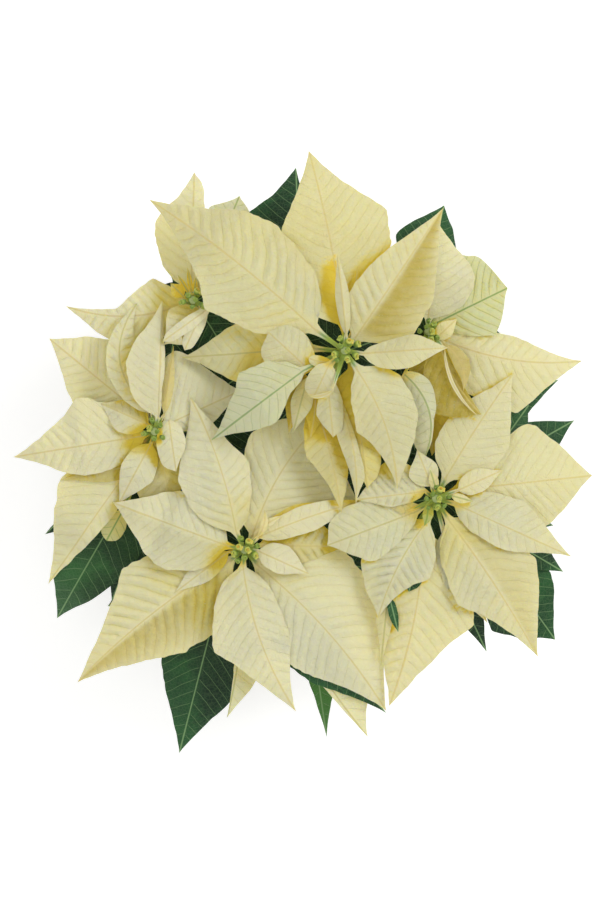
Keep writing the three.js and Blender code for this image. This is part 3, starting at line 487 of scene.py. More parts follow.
def blade_surface(blade, s, t, fine=False, seed=0):
    """The middle surface of a blade, at shares s from base to tip and t from right edge to left, with
    the distance from the midrib at each point. A fine one has curved outlines and an uneven margin."""
    start = np.array(blade["start"], float)
    end = np.array(blade["end"], float)
    length = blade_length(blade)
    left = np.array([-(end - start)[1], (end - start)[0]]) / length
    middle = (start + end) / 2 + left * 2 * blade["bow"]
    s = s[:, None]
    centre = [(1 - s) ** 2 * start[k] + 2 * s * (1 - s) * middle[k] + s * s * end[k] for k in (0, 1)]
    way = [(1 - s) * (middle[k] - start[k]) + s * (end[k] - middle[k]) for k in (0, 1)]
    norm = np.hypot(*way)
    way = [part / norm for part in way]
    if fine:
        lifts = eased(STATIONS, blade["lifts"], s)
        outline = []
        for side, key in enumerate(blade["outline"]):
            margin = np.stack([s * length, s * 0 + OTHER_MARGIN * side, s * 0], axis=-1)
            uneven = 1
            for k, (stray, size) in enumerate(MARGIN_WAVES):
                uneven = uneven + stray * clouds(margin, size, seed + k)
            outline.append(fine_outline(key, s) * uneven)
    else:
        lifts = np.interp(s, STATIONS, blade["lifts"])
        outline = [np.interp(s, STATIONS, OUTLINES[key]) for key in blade["outline"]]
    climb = tangent(blade["slopes"][0]) * (s - s * s / 2)
    fall = tangent(blade["slopes"][1]) * s * s / 2
    is_left = t[None, :] > 0
    share = np.where(is_left, outline[0], outline[1])
    width = np.where(is_left, blade["half"][0], blade["half"][1]) * share * abs(t)
    lean = np.where(is_left, tangent(blade["sides"][0]), tangent(blade["sides"][1]))
    ripple = blade["wave"] * t * t * np.sin(2 * math.pi * RIPPLES * s + 2 * t) * share
    z = blade["z"] + length * (climb - fall) + lifts - width * lean + ripple
    x = centre[0] - way[1] * width * np.sign(t)
    y = centre[1] + way[0] * width * np.sign(t)
    return np.stack([x, y, z], axis=-1), width


def stem_rows(blade, t, base, count):
    """The flat petiole of a bract, from the axis of its stem to the base of its blade."""
    at = np.array(HEADS[blade["head"]]["at"], float)
    outward = np.array(blade["start"], float) - at
    outward /= np.linalg.norm(outward)
    across = t * PETIOLE_HALF
    root_z = np.full(len(t), blade["z"] + blade["lifts"][0] - PETIOLE_DROP)
    root = np.stack([at[0] - outward[1] * across, at[1] + outward[0] * across, root_z], axis=-1)
    if count == 1:
        return root[None]
    u = np.linspace(0, 1, count, endpoint=False)[:, None, None]
    middle = base[len(t) // 2]
    narrow = middle + (root - root.mean(axis=0))
    straight = root * (1 - u) + narrow * u
    return straight + (base - narrow) * u ** 4


def coarse_rows(blade):
    """The few points by which a blade settles, with its petiole's root as a bract's first row."""
    few = blade["leafy"] or max(blade["half"]) < NARROW
    t = np.array([-1, 0, 1.0]) if few else np.array([-1, -0.5, 0, 0.5, 1])
    rows, _ = blade_surface(blade, STATIONS, t)
    if blade["leafy"]:
        return rows
    return np.concatenate([stem_rows(blade, t, rows[0], 1), rows])


# ---- Settling: each blade rides up on what lies below it --------------------------------------

CELLS = round(2 * REACH / CELL)
SAMPLES = 6                              # points along each side of a piece of a blade
heights = np.full((CELLS, CELLS), -np.inf)


def cell_of(value):
    return np.clip(np.floor((value + REACH) / CELL).astype(int), 1, CELLS - 2)


def height_near(p):
    """The greatest height laid so far in each point's cell and the four beside it."""
    i = cell_of(p[..., 0])
    j = cell_of(p[..., 1])
    around = [heights[j, i], heights[j, i - 1], heights[j, i + 1], heights[j - 1, i], heights[j + 1, i]]
    return np.max(around, axis=0)


def samples_of(rows):
    """Points spread evenly over each piece of a blade: row, column, then the points."""
    fine = np.arange(SAMPLES) / (SAMPLES - 1)
    u = fine[None, None, :, None, None]
    v = fine[None, None, None, :, None]
    corner = rows[:-1, :-1, None, None, :]
    ahead = rows[1:, :-1, None, None, :]
    beside = rows[:-1, 1:, None, None, :]
    across = rows[1:, 1:, None, None, :]
    return (corner * (1 - u) + ahead * u) * (1 - v) + (beside * (1 - u) + across * u) * v


def settle(blade):
    """Lifts a blade clear of what lies below it, never faster than it may climb, and lays it down."""
    blade["lifts"] = np.zeros(len(STATIONS))
    points = samples_of(coarse_rows(blade))
    missing = (height_near(points) - points[..., 2]).max(axis=(1, 2, 3))
    missing += LAYER_GAP if max(blade["half"]) > NARROW else NARROW_GAP
    stalk_rows = 0 if blade["leafy"] else 1
    missing[:stalk_rows] -= STALK_EASE
    need = np.zeros(len(STATIONS))
    for row, lack in enumerate(missing):
        for station in (max(row - stalk_rows, 0), row + 1 - stalk_rows):
            need[station] = max(need[station], lack)
    apart = abs(STATIONS[:, None] - STATIONS[None, :])
    blade["lifts"] = (need[None, :] - SETTLE_SLOPE * blade_length(blade) * apart).max(axis=1)
    points = samples_of(coarse_rows(blade)).reshape(-1, 3)
    np.maximum.at(heights, (cell_of(points[:, 1]), cell_of(points[:, 0])), points[:, 2])


def close_head(name):
    """Once a head's last bract lies, its stem's ends are known, and its buds keep later blades off."""
    head = HEADS[name]
    roots = [b["z"] + b["lifts"][0] - PETIOLE_DROP for b in BRACTS[name]]
    head["bottom"] = min(roots) - CORE_BELOW
    head["top"] = max(roots) + CORE_ABOVE
    offsets = np.arange(-head["spread"], head["spread"] + 1e-9, CELL)
    x, y = np.meshgrid(head["at"][0] + offsets, head["at"][1] + offsets)
    np.maximum.at(heights, (cell_of(y), cell_of(x)), head["top"] + BUD_LENGTH)


blades = []
for name, head in HEADS.items():
    for blade in LEAVES[name] + BRACTS[name]:
        blade["head"] = name
        blade.setdefault("z", head["z"])
        blades.append(blade)
blades.sort(key=lambda blade: blade["level"])
for place, blade in enumerate(blades):
    settle(blade)
    later = [b for b in blades[place + 1:] if b["head"] == blade["head"] and not b["leafy"]]
    if not blade["leafy"] and not later:
        close_head(blade["head"])

# Small leaves right under each head's bracts: how many, and the first one's bearing. Each runs out from
# just behind the stem's axis and droops. They lie at three heights in turn, a step apart.
YOUNG_LEAVES = {"a": (6, 20), "b": (6, 50), "c": (6, 10), "d": (6, 40), "e": (6, 0), "f": (5, 30)}
YOUNG_LEAF = dict(start=-2, end=44, half=(13, 13), slopes=(0, 34), below=4, step=1.5)


def young_leaves(name):
    """Leaves around the top of a branch, which fill the gaps between the bracts' stalks."""
    head = HEADS[name]
    count, first = YOUNG_LEAVES[name]
    found = []
    for k in range(count):
        bearing = math.radians(first + k * 360 / count)
        way = (math.cos(bearing), math.sin(bearing))
        start = tuple(head["at"][i] + YOUNG_LEAF["start"] * way[i] for i in (0, 1))
        end = tuple(head["at"][i] + YOUNG_LEAF["end"] * way[i] for i in (0, 1))
        z = head["bottom"] - YOUNG_LEAF["below"] - YOUNG_LEAF["step"] * (k % 3)
        small = leaf(start, end, YOUNG_LEAF["half"], z, 0, "WW")
        small.update(head=name, slopes=YOUNG_LEAF["slopes"], lifts=np.zeros(len(STATIONS)))
        found.append(small)
    return found


# Painted shadow: where the height map keeps the key light off a place, golden shade is painted into
# the blade's colour. The height map is looked along from each point, this far, a little to both sides
# and at a few steepnesses.
LIGHT_FROM = (0.56, 0.30, 0.77)
SHADE_REACH = range(3, 31, 2)
SHADE_WAYS = [(turn, steep) for turn in (-14, 0, 14) for steep in (0.85, 1.0, 1.2)]
SHADE_EDGE = (0.3, 2.5)


def shade_on(points):
    """How much of the slanted light is kept off each point by the height map, from 0 to 1."""
    total = np.zeros(points.shape[:-1])
    for turn, steep in SHADE_WAYS:
        angle = math.atan2(LIGHT_FROM[1], LIGHT_FROM[0]) + math.radians(turn)
        climb = steep * LIGHT_FROM[2] / math.hypot(LIGHT_FROM[0], LIGHT_FROM[1])
        kept = np.zeros(points.shape[:-1])
        for reach in SHADE_REACH:
            i = cell_of(points[..., 0] + reach * math.cos(angle))
            j = cell_of(points[..., 1] + reach * math.sin(angle))
            above = heights[j, i] - points[..., 2] - reach * climb
            kept = np.maximum(kept, smooth(*SHADE_EDGE, above))
        total += kept
    return total / len(SHADE_WAYS)


# ---- The finished surface of a blade ----------------------------------------------------------

# The grid of a blade: its most rows, its most columns on a half, the gaps between both, and the rows of
# its petiole. Its body: thickness, height of the quilting and of the creases, and the midrib's depth.
BRACT_FINISH = dict(rows=94, halves=26, row_gap=1.35, column_gap=1.45, petiole=7,
                    thickness=0.45, quilt=1.25, crinkle=0.6, rib=0.7)
LEAF_FINISH = dict(rows=44, halves=12, row_gap=1.8, column_gap=2.0, petiole=0,
                   thickness=0.5, quilt=0.6, crinkle=0.4, rib=0.9)
FEWEST_ROWS = 18
FEWEST_HALVES = 5
CLOSER_ROWS = 1.05                       # above 1, rows lie closer near the base
CLOSER_COLUMNS = 1.15                    # and columns near the midrib

# Side veins: their spacing on a short blade and what each mm of length adds, how far they slant
# towards the tip and how much they curve.
VEIN_SPACING = 5.0
VEIN_SPACING_GROWTH = 0.03
VEIN_SLANT = 0.62
VEIN_CURVE = 0.006

WIDE_HALF = 20                           # from this half width on, a blade's relief is at its full height
GROOVE = (0.5, 1.5)                      # depth and half width of the groove over the midrib
RIB_HALF = 1.3
TIP_PINCH = 0.04                         # the last row is this much of the row before it, not a point


def steps_in(size, gap, fewest, most):
    """How many steps of about one gap there are in a size, within limits."""
    return int(np.clip(round(size / gap), fewest, most))


def blade_grid(blade, finish):
    """Shares along a blade from base to tip, and across it from right edge to left."""
    row_count = steps_in(blade_length(blade), finish["row_gap"], FEWEST_ROWS, finish["rows"])
    halves = steps_in(sum(blade["half"]) / 2, finish["column_gap"], FEWEST_HALVES, finish["halves"])
    k = np.linspace(-1, 1, 2 * halves + 1)
    return np.linspace(0, 1, row_count) ** CLOSER_ROWS, np.sign(k) * abs(k) ** CLOSER_COLUMNS


def vein_count(blade, rows, share, width, seed):
    """The number of side veins passed up to each point, whole on a vein, and their spacing."""
    length = blade_length(blade)
    spacing = VEIN_SPACING + VEIN_SPACING_GROWTH * length
    wander = clouds(rows, 22, seed) * 0.2 + clouds(rows, 7, seed + 5) * 0.05
    return (share * length - VEIN_SLANT * width - VEIN_CURVE * width ** 2) / spacing + wander, spacing


def blade_relief(blade, finish, rows, t, share, width, phase, seed):
    """How far the surface rises at each point, and how much painted shade goes into the hollow over a side
    vein.
    """
    inner = smooth(0.5, 5, width) * (1 - abs(t[None, :]) ** 5) * smooth(0, 0.12, share)
    size = min(1, max(blade["half"]) / WIDE_HALF)
    uneven = 0.75 + 0.45 * clouds(rows, 26, seed + 6)
    pillow = (abs(np.sin(math.pi * phase)) ** 1.2 - 0.5) * inner * uneven * size * blade["ribs"]
    # Painted shade: the hollows between the pillows, over the side veins, are painted golden.
    painted_vein_shade = np.clip(0.2 - pillow, 0, 1)
    crease = clouds(rows, 9, seed + 3) * (0.35 + 0.65 * t[None, :] ** 2)
    fine = clouds(rows, 4.5, seed + 4) * 0.4 * (0.6 + 0.4 * blade["ribs"])
    crease = (crease + fine + clouds(rows, 30, seed + 7) * 1.3) * finish["crinkle"] * size
    groove = -GROOVE[0] * np.exp(-(width / GROOVE[1]) ** 2) * (1 - share)
    relief = pillow * finish["quilt"] + crease * smooth(0, 0.15, share) + groove
    return relief * smooth(1.0, 0.93, share), painted_vein_shade


def blade_tones(blade, rows, t, share, painted_vein_shade, seed):
    """How green, or below 0 how brown with painted shade, and how golden the blade is at each point. The
    gold is its own tint together with painted shade: near its root, in the hollows over its veins, and where
    others keep the light off.
    """
    # Painted shade: each half is painted browner by its own amount, strongest close beside the midrib and
    # fading to the margin.
    painted_half_shade = np.where(t > 0, blade["painted_half_shade"][0], blade["painted_half_shade"][1])
    painted_half_shade = painted_half_shade * smooth(0, 0.15, abs(t)) * smooth(1.3, 0.2, abs(t))
    green_root = 0 if blade["leafy"] else 2 * smooth(-0.01, -0.08, share)
    green = blade["tinge"] - painted_half_shade * smooth(0, 0.1, share) + green_root
    mottle = 0.6 + 0.4 * clouds(rows, 30, seed + 9)
    # The bract's own golden tint, and near its root its own tint and painted shade together.
    gold = blade["gold"] * (0.75 + 0.35 * mottle) + blade["root"] * smooth(0.45, 0.1, share) * mottle
    # Painted shade in the hollows over the side veins, and painted shadow where others keep the light off.
    gold = gold + 0.3 * painted_vein_shade + blade["shade"] * shade_on(rows) * (0.6 + 0.4 * mottle)
    return green, np.clip(gold, 0, 1)


def rim_faces(count, columns):
    """Quads around the edge, between the upper grid and the lower one that follows it."""
    ring = np.concatenate([
        np.arange(columns),
        (np.arange(1, count) + 1) * columns - 1,
        np.arange(count * columns - 2, (count - 1) * columns - 1, -1),
        np.arange(count - 2, 0, -1) * columns,
    ])
    ahead = np.roll(ring, -1)
    return np.stack([ring, ahead, ahead + count * columns, ring + count * columns], 1)


def finished_blade(shell, blade, seed):
    """Adds one blade: both faces, quilted between its veins, thick along the midrib underneath."""
    finish = LEAF_FINISH if blade["leafy"] else BRACT_FINISH
    s, t = blade_grid(blade, finish)
    rows, width = blade_surface(blade, s, t, True, seed)
    share = np.broadcast_to(s[:, None], width.shape)
    rows[-1] += (rows[-2] - rows[-2, [len(t) // 2]]) * TIP_PINCH
    phase, spacing = vein_count(blade, rows, share, width, seed)
    relief, painted_vein_shade = blade_relief(blade, finish, rows, t, share, width, phase, seed)

    if finish["petiole"]:
        petiole_rows = stem_rows(blade, t, rows[0], finish["petiole"])
        extra = np.zeros((finish["petiole"], len(t)))
        before_base = np.linspace(-0.12, 0, finish["petiole"], endpoint=False)[:, None] + extra
        rows = np.concatenate([petiole_rows, rows])
        relief, painted_vein_shade, phase = (np.concatenate([extra, part]) for part in (relief, painted_vein_shade, phase))
        share = np.concatenate([before_base, share])
        width = np.concatenate([abs(t)[None, :] * PETIOLE_HALF + extra, width])

    normal = np.cross(np.gradient(rows, axis=0), np.gradient(rows, axis=1))
    normal /= np.linalg.norm(normal, axis=-1, keepdims=True) + 1e-12
    normal *= np.sign(normal[..., 2:3])
    rib = finish["rib"] * np.exp(-(width / RIB_HALF) ** 2) * np.clip(1 - share, 0, 1) ** 0.7
    top = rows + normal * (relief + finish["thickness"] / 2)[..., None]
    under = rows + normal * (relief - finish["thickness"] / 2 - rib)[..., None]

    count, columns = rows.shape[:2]
    face = grid_faces(count, columns)
    points = np.concatenate([top.reshape(-1, 3), under.reshape(-1, 3)])
    faces = np.concatenate([face[:, ::-1], face + count * columns, rim_faces(count, columns)])

    # The third part of a tone tells the faces apart: 1 underneath, and below 0 how much paler the top is
    # painted, as painted light on the heads that lie lower in the shade.
    green, gold = blade_tones(blade, rows, t, share, painted_vein_shade, seed)
    pale = 0.0 if blade["leafy"] else -HEADS[blade["head"]]["pale"]
    veins = np.stack([phase, width, np.full(width.shape, spacing)], axis=-1).reshape(-1, 3)
    tones = [
        np.stack([green, gold, np.full(width.shape, side)], axis=-1).reshape(-1, 3) for side in (pale, 1.0)
    ]
    shell.add(points, faces, np.concatenate([veins, veins]), np.concatenate(tones))


# ---- Shader graphs -----------------------------------------------------------------------------


class Graph:
    """Makes nodes in a tree. An input's value may be a number, a colour or another node's output."""

    def __init__(self, tree):
        self.tree = tree

    def add(self, kind, *inputs, named=None, **settings):
        node = self.tree.nodes.new(kind)
        for key, value in settings.items():
            setattr(node, key, value)
        for key, value in [*enumerate(inputs), *(named or {}).items()]:
            if value is None:
                continue
            if isinstance(value, bpy.types.NodeSocket):
                self.tree.links.new(value, node.inputs[key])
            else:
                node.inputs[key].default_value = value
        return node

    def math(self, operation, *values, clamp=False):
        return self.add("ShaderNodeMath", *values, operation=operation, use_clamp=clamp).outputs[0]

    def times(self, first, second, clamp=False):
        return self.math("MULTIPLY", first, second, clamp=clamp)

    def plus(self, first, second):
        return self.math("ADD", first, second)

    def step(self, value, low, high):
        """0 up to low, 1 from high."""
        return self.add("ShaderNodeMapRange", value, low, high, interpolation_type="SMOOTHSTEP").outputs[0]

    def mix(self, factor, first, second):
        """The first colour at 0, the second at 1."""
        return self.add("ShaderNodeMix", named={0: factor, 6: first, 7: second}, data_type="RGBA").outputs[2]

    def noise(self, where, scale, detail=2.0, rough=0.5):
        named = {"Vector": where, "Scale": scale, "Detail": detail, "Roughness": rough}
        return self.add("ShaderNodeTexNoise", named=named).outputs[0]

    def attribute(self, name):
        vector = self.add("ShaderNodeAttribute", attribute_name=name).outputs["Vector"]
        return self.add("ShaderNodeSeparateXYZ", vector).outputs


def colour(red, green, blue):
    """A colour as a socket takes it, with its alpha."""
    return (red, green, blue, 1.0)


def new_material(name, **finish):
    """A material with its shader's even settings, and its graph, its shader and Object coordinates."""
    material = bpy.data.materials.new(name)
    material.use_nodes = True
    graph = Graph(material.node_tree)
    shader = material.node_tree.nodes["Principled BSDF"]
    for key, value in finish.items():
        shader.inputs[key.replace("_", " ")].default_value = value
    where = graph.add("ShaderNodeTexCoord").outputs["Object"]
    return material, graph, shader, where


def bump(graph, shader, height, distance, strength):
    """Links a shader's normal to a height, which spans a distance in metres."""
    named = {"Strength": strength, "Distance": distance, "Height": height}
    graph.tree.links.new(graph.add("ShaderNodeBump", named=named).outputs[0], shader.inputs["Normal"])


NET_SCALE = 420.0                        # cells of the net to a metre
BRACT_MIDRIB = 0.85
LEAF_MIDRIB = 0.7


def vein_lines(graph, where, midrib):
    """Lines of the midrib, of a half width in mm, the side veins and the net between them."""
    phase, width, spacing = graph.attribute("vein")
    away = graph.times(graph.math("PINGPONG", phase, 0.5), spacing)
    side = graph.math("SUBTRACT", 1.0, graph.step(away, 0.08, 0.5))
    side = graph.times(side, graph.step(width, 0.3, 2.0))
    middle = graph.math("SUBTRACT", 1.0, graph.step(width, midrib * 0.3, midrib))
    cells_between = graph.add("ShaderNodeTexVoronoi", feature="DISTANCE_TO_EDGE",
                              named={"Vector": where, "Scale": NET_SCALE}).outputs[0]
    net = graph.math("SUBTRACT", 1.0, graph.step(cells_between, 0.0, 0.12))
    return middle, side, net


def bract_material():
    """Cream that lets light through, golden with its own tint and painted shade, greener as its tone says,
    browner with painted shade, and paler with painted light on the lower heads.
    """
    warm_cream = colour(0.635, 0.588, 0.332)
    cream = colour(0.668, 0.631, 0.387)
    light_cream = colour(0.712, 0.682, 0.485)
    painted_light_cream = colour(0.81, 0.747, 0.50)
    green_cream = colour(0.525, 0.60, 0.418)
    lime = colour(0.31, 0.40, 0.07)
    light_gold = colour(0.76, 0.63, 0.22)
    deep_shade_gold = colour(0.72, 0.51, 0.035)
    shaded_brown = colour(0.42, 0.33, 0.04)
    vein_cream = colour(0.61, 0.51, 0.19)
    vein_green = colour(0.19, 0.32, 0.09)
    underside = colour(0.62, 0.62, 0.36)
    finish = {"Roughness": 0.62, "Specular_IOR_Level": 0.22, "Subsurface_Weight": 0.5,
              "Subsurface_Radius": (1.0, 0.75, 0.14), "Subsurface_Scale": 0.0025, "Sheen_Weight": 0.08}
    material, graph, shader, where = new_material("cream_bract", **finish)
    tinge, gold, face = graph.attribute("tone")
    pale = graph.times(face, -1.0, clamp=True)
    under = graph.math("MAXIMUM", face, 0.0)
    green = graph.math("MAXIMUM", tinge, 0.0)
    greenness = graph.math("MINIMUM", green, 1.0)
    middle, side, net = vein_lines(graph, where, BRACT_MIDRIB)
    drift = graph.noise(where, 16.0, 3.0)
    mottle = graph.noise(where, 140.0, 4.0, 0.6)
    base = graph.mix(graph.step(drift, 0.35, 0.68), warm_cream, cream)
    base = graph.mix(graph.times(graph.step(mottle, 0.4, 0.75), 0.25), base, light_cream)
    # Painted light: the tops of the lower heads' bracts are painted paler.
    base = graph.mix(pale, base, painted_light_cream)
    leafy = graph.times(green, graph.plus(0.75, graph.times(mottle, 0.5)))
    base = graph.mix(graph.math("MINIMUM", leafy, 1.0), base, green_cream)
    # Gold is the bract's own tint and painted shade together; the more of it, the deeper the gold of the
    # painted shade.
    gold_and_shade = graph.times(gold, graph.plus(0.85, graph.times(mottle, 0.3)))
    base = graph.mix(graph.step(gold_and_shade, 0.0, 0.75), base, light_gold)
    base = graph.mix(graph.step(gold_and_shade, 0.45, 1.1), base, deep_shade_gold)
    # Painted shade: a tone below 0 paints the bract brown.
    brown = graph.times(tinge, graph.math("MULTIPLY_ADD", mottle, -0.8, -0.6))
    base = graph.mix(graph.math("MAXIMUM", brown, 0.0), base, shaded_brown)
    vein = graph.mix(graph.times(green, 2.2, clamp=True), vein_cream, vein_green)
    middle = graph.times(middle, graph.math("MULTIPLY_ADD", greenness, 0.35, 0.6))
    side_line = graph.times(side, graph.math("MULTIPLY_ADD", greenness, 0.5, 0.06))
    lines = graph.math("MAXIMUM", middle, side_line)
    lines = graph.math("MAXIMUM", lines, graph.times(net, 0.03))
    base = graph.mix(lines, base, vein)
    base = graph.mix(graph.step(green, 0.5, 1.7), base, lime)
    base = graph.mix(graph.times(under, 0.35), base, underside)
    graph.tree.links.new(base, shader.inputs["Base Color"])
    fine = graph.noise(where, 700.0, 3.0, 0.6)
    height = graph.plus(graph.times(fine, 0.3), graph.times(net, -0.1))
    height = graph.plus(height, graph.times(side, -0.2))
    height = graph.plus(height, graph.times(graph.noise(where, 260.0, 3.0), 0.8))
    bump(graph, shader, height, 0.0010, 1.0)
    return material


def leaf_material():
    """Dark green, lime where it is young, darker in the shade and duller underneath."""
    deep_green = colour(0.017, 0.062, 0.022)
    dark_green = colour(0.028, 0.118, 0.034)
    fresh_green = colour(0.042, 0.15, 0.046)
    lime = colour(0.09, 0.26, 0.045)
    shaded_green = colour(0.010, 0.026, 0.013)
    vein_green = colour(0.20, 0.34, 0.14)
    underside = colour(0.13, 0.24, 0.11)
    finish = {"Specular_IOR_Level": 0.22, "Subsurface_Weight": 0.06,
              "Subsurface_Radius": (0.3, 1.0, 0.2), "Subsurface_Scale": 0.001}
    material, graph, shader, where = new_material("green_leaf", **finish)
    young, shade, under = graph.attribute("tone")
    middle, side, net = vein_lines(graph, where, LEAF_MIDRIB)
    drift = graph.noise(where, 22.0, 3.0)
    mottle = graph.noise(where, 160.0, 4.0, 0.6)
    base = graph.mix(graph.step(drift, 0.3, 0.7), deep_green, dark_green)
    base = graph.mix(graph.times(graph.step(mottle, 0.45, 0.8), 0.4), base, fresh_green)
    base = graph.mix(young, base, lime)
    base = graph.mix(graph.times(shade, 0.8), base, shaded_green)
    lines = graph.math("MAXIMUM", graph.times(middle, 0.9), graph.times(side, 0.5))
    lines = graph.math("MAXIMUM", lines, graph.times(net, 0.12))
    base = graph.mix(lines, base, vein_green)
    base = graph.mix(graph.times(under, 0.75), base, underside)
    graph.tree.links.new(base, shader.inputs["Base Color"])
    rough = graph.plus(0.36, graph.times(mottle, 0.22))
    graph.tree.links.new(rough, shader.inputs["Roughness"])
    height = graph.plus(graph.times(net, -0.5), graph.times(side, -0.9))
    height = graph.plus(height, graph.times(graph.noise(where, 500.0, 3.0), 0.6))
    bump(graph, shader, height, 0.0004, 0.6)
    return material


def stalk_material():
    """Young stalk: tone holds how woody it is in its first part, how pale in its second."""
    material, graph, shader, where = new_material("young_stalk", Specular_IOR_Level=0.4)
    woody, pale, _ = graph.attribute("tone")
    streaks = graph.add("ShaderNodeMapping", where, named={"Scale": (9.0, 9.0, 1.0)}).outputs[0]
    grain = graph.noise(streaks, 60.0, 4.0)
    base = graph.mix(grain, colour(0.10, 0.20, 0.045), colour(0.20, 0.32, 0.09))
    base = graph.mix(pale, base, graph.mix(grain, colour(0.36, 0.46, 0.14), colour(0.50, 0.56, 0.22)))
    base = graph.mix(woody, base, graph.mix(grain, colour(0.16, 0.11, 0.06), colour(0.30, 0.23, 0.13)))
    graph.tree.links.new(base, shader.inputs["Base Color"])
    rough = graph.plus(0.42, graph.times(woody, 0.35))
    graph.tree.links.new(rough, shader.inputs["Roughness"])
    bump(graph, shader, grain, 0.0006, 0.5)
    return material


def bark_material():
    """Grey brown, ringed and cracked, a little green."""
    material, graph, shader, where = new_material("bark", Roughness=0.85, Specular_IOR_Level=0.2)
    rings = graph.add("ShaderNodeMapping", where, named={"Scale": (1.0, 1.0, 4.0)}).outputs[0]
    cracks = graph.noise(rings, 110.0, 5.0, 0.65)
    lumps = graph.noise(where, 40.0, 3.0)
    base = graph.mix(graph.step(cracks, 0.35, 0.65), colour(0.12, 0.085, 0.045), colour(0.33, 0.26, 0.15))
    base = graph.mix(graph.times(lumps, 0.4), base, colour(0.24, 0.27, 0.12))
    graph.tree.links.new(base, shader.inputs["Base Color"])
    bump(graph, shader, cracks, 0.0012, 0.8)
    return material


def soil_material():
    """Dark crumbly potting soil."""
    material, graph, shader, where = new_material("potting_soil", Roughness=0.95, Specular_IOR_Level=0.12)
    crumbs = graph.noise(where, 260.0, 6.0, 0.7)
    clods = graph.noise(where, 45.0, 3.0)
    dark_crumb = colour(0.018, 0.011, 0.007)
    light_crumb = colour(0.085, 0.055, 0.034)
    base = graph.mix(graph.step(crumbs, 0.35, 0.7), dark_crumb, light_crumb)
    base = graph.mix(graph.times(graph.step(clods, 0.5, 0.8), 0.6), base, colour(0.12, 0.08, 0.05))
    graph.tree.links.new(base, shader.inputs["Base Color"])
    bump(graph, shader, crumbs, 0.002, 0.9)
    return material


def perlite_material():
    """Off-white grains."""
    material, graph, shader, where = new_material("perlite", Roughness=0.9)
    grain = graph.noise(where, 900.0, 3.0)
    base = graph.mix(grain, colour(0.52, 0.50, 0.45), colour(0.78, 0.77, 0.72))
    graph.tree.links.new(base, shader.inputs["Base Color"])
    bump(graph, shader, grain, 0.0006, 0.6)
    return material


def pot_material():
    """Fired clay: turning marks and a fine grit."""
    material, graph, shader, where = new_material("terracotta_pot", Specular_IOR_Level=0.3)
    broad = graph.noise(where, 12.0, 3.0)
    turned = graph.add("ShaderNodeMapping", where, named={"Scale": (0.6, 0.6, 14.0)}).outputs[0]
    rings = graph.noise(turned, 30.0, 3.0)
    grit = graph.noise(where, 520.0, 4.0, 0.65)
    base = graph.mix(graph.step(broad, 0.3, 0.7), colour(0.36, 0.115, 0.052), colour(0.47, 0.17, 0.08))
    base = graph.mix(graph.times(rings, 0.25), base, colour(0.55, 0.24, 0.13))
    base = graph.mix(graph.times(graph.step(grit, 0.55, 0.8), 0.35), base, colour(0.24, 0.08, 0.04))
    graph.tree.links.new(base, shader.inputs["Base Color"])
    rough = graph.plus(0.62, graph.times(grit, 0.2))
    graph.tree.links.new(rough, shader.inputs["Roughness"])
    height = graph.plus(graph.times(rings, 0.8), graph.times(grit, 0.4))
    bump(graph, shader, height, 0.0006, 0.5)
    return material


def cyathium_material():
    """Ripe is green low on a cyathium, yellow at its mouth and orange on its anthers."""
    finish = {"Roughness": 0.38, "Specular_IOR_Level": 0.45, "Subsurface_Weight": 0.15,
              "Subsurface_Radius": (0.8, 1.0, 0.2), "Subsurface_Scale": 0.001}
    material, graph, shader, where = new_material("cyathium", **finish)
    age = graph.add("ShaderNodeAttribute", attribute_name="age").outputs["Fac"]
    ageing = graph.math("MULTIPLY_ADD", graph.math("POWER", age, 1.6), 0.75, 0.3)
    ripe = graph.times(graph.attribute("tone")[0], ageing)
    ramp = graph.add("ShaderNodeValToRGB", ripe)
    stops = ramp.color_ramp.elements
    stops[0].color = colour(0.085, 0.20, 0.035)
    stops[1].position = 0.95
    stops[1].color = colour(0.80, 0.42, 0.035)
    for position, shade in ((0.42, (0.28, 0.38, 0.055)), (0.68, (0.62, 0.60, 0.10))):
        stops.new(position).color = colour(*shade)
    mottle = graph.noise(where, 600.0, 3.0)
    base = graph.mix(graph.times(mottle, 0.35), ramp.outputs[0], colour(0.33, 0.42, 0.08))
    graph.tree.links.new(base, shader.inputs["Base Color"])
    bump(graph, shader, mottle, 0.0003, 0.5)
    return material


# ---- Geometry Nodes: bunches of cyathia, crumbs of soil ------------------------------------------

GOLDEN_ANGLE = 2.39996
FULL_TURN = 6.283


def new_tree(name, inputs):
    """A node tree with named inputs of (kind, value), and its graph and its inputs' outputs."""
    tree = bpy.data.node_groups.new(name, "GeometryNodeTree")
    tree.interface.new_socket("Geometry", in_out="INPUT", socket_type="NodeSocketGeometry")
    for key, (kind, value) in inputs.items():
        socket = tree.interface.new_socket(key, in_out="INPUT", socket_type=kind)
        if value is not None:
            socket.default_value = value
    tree.interface.new_socket("Geometry", in_out="OUTPUT", socket_type="NodeSocketGeometry")
    graph = Graph(tree)
    return tree, graph, graph.add("NodeGroupInput").outputs


def close_tree(graph, geometry, material):
    """Ends a tree in Realize Instances and Set Material."""
    real = graph.add("GeometryNodeRealizeInstances", geometry).outputs[0]
    done = graph.add("GeometryNodeSetMaterial", real, named={"Material": material}).outputs[0]
    graph.add("NodeGroupOutput", done)


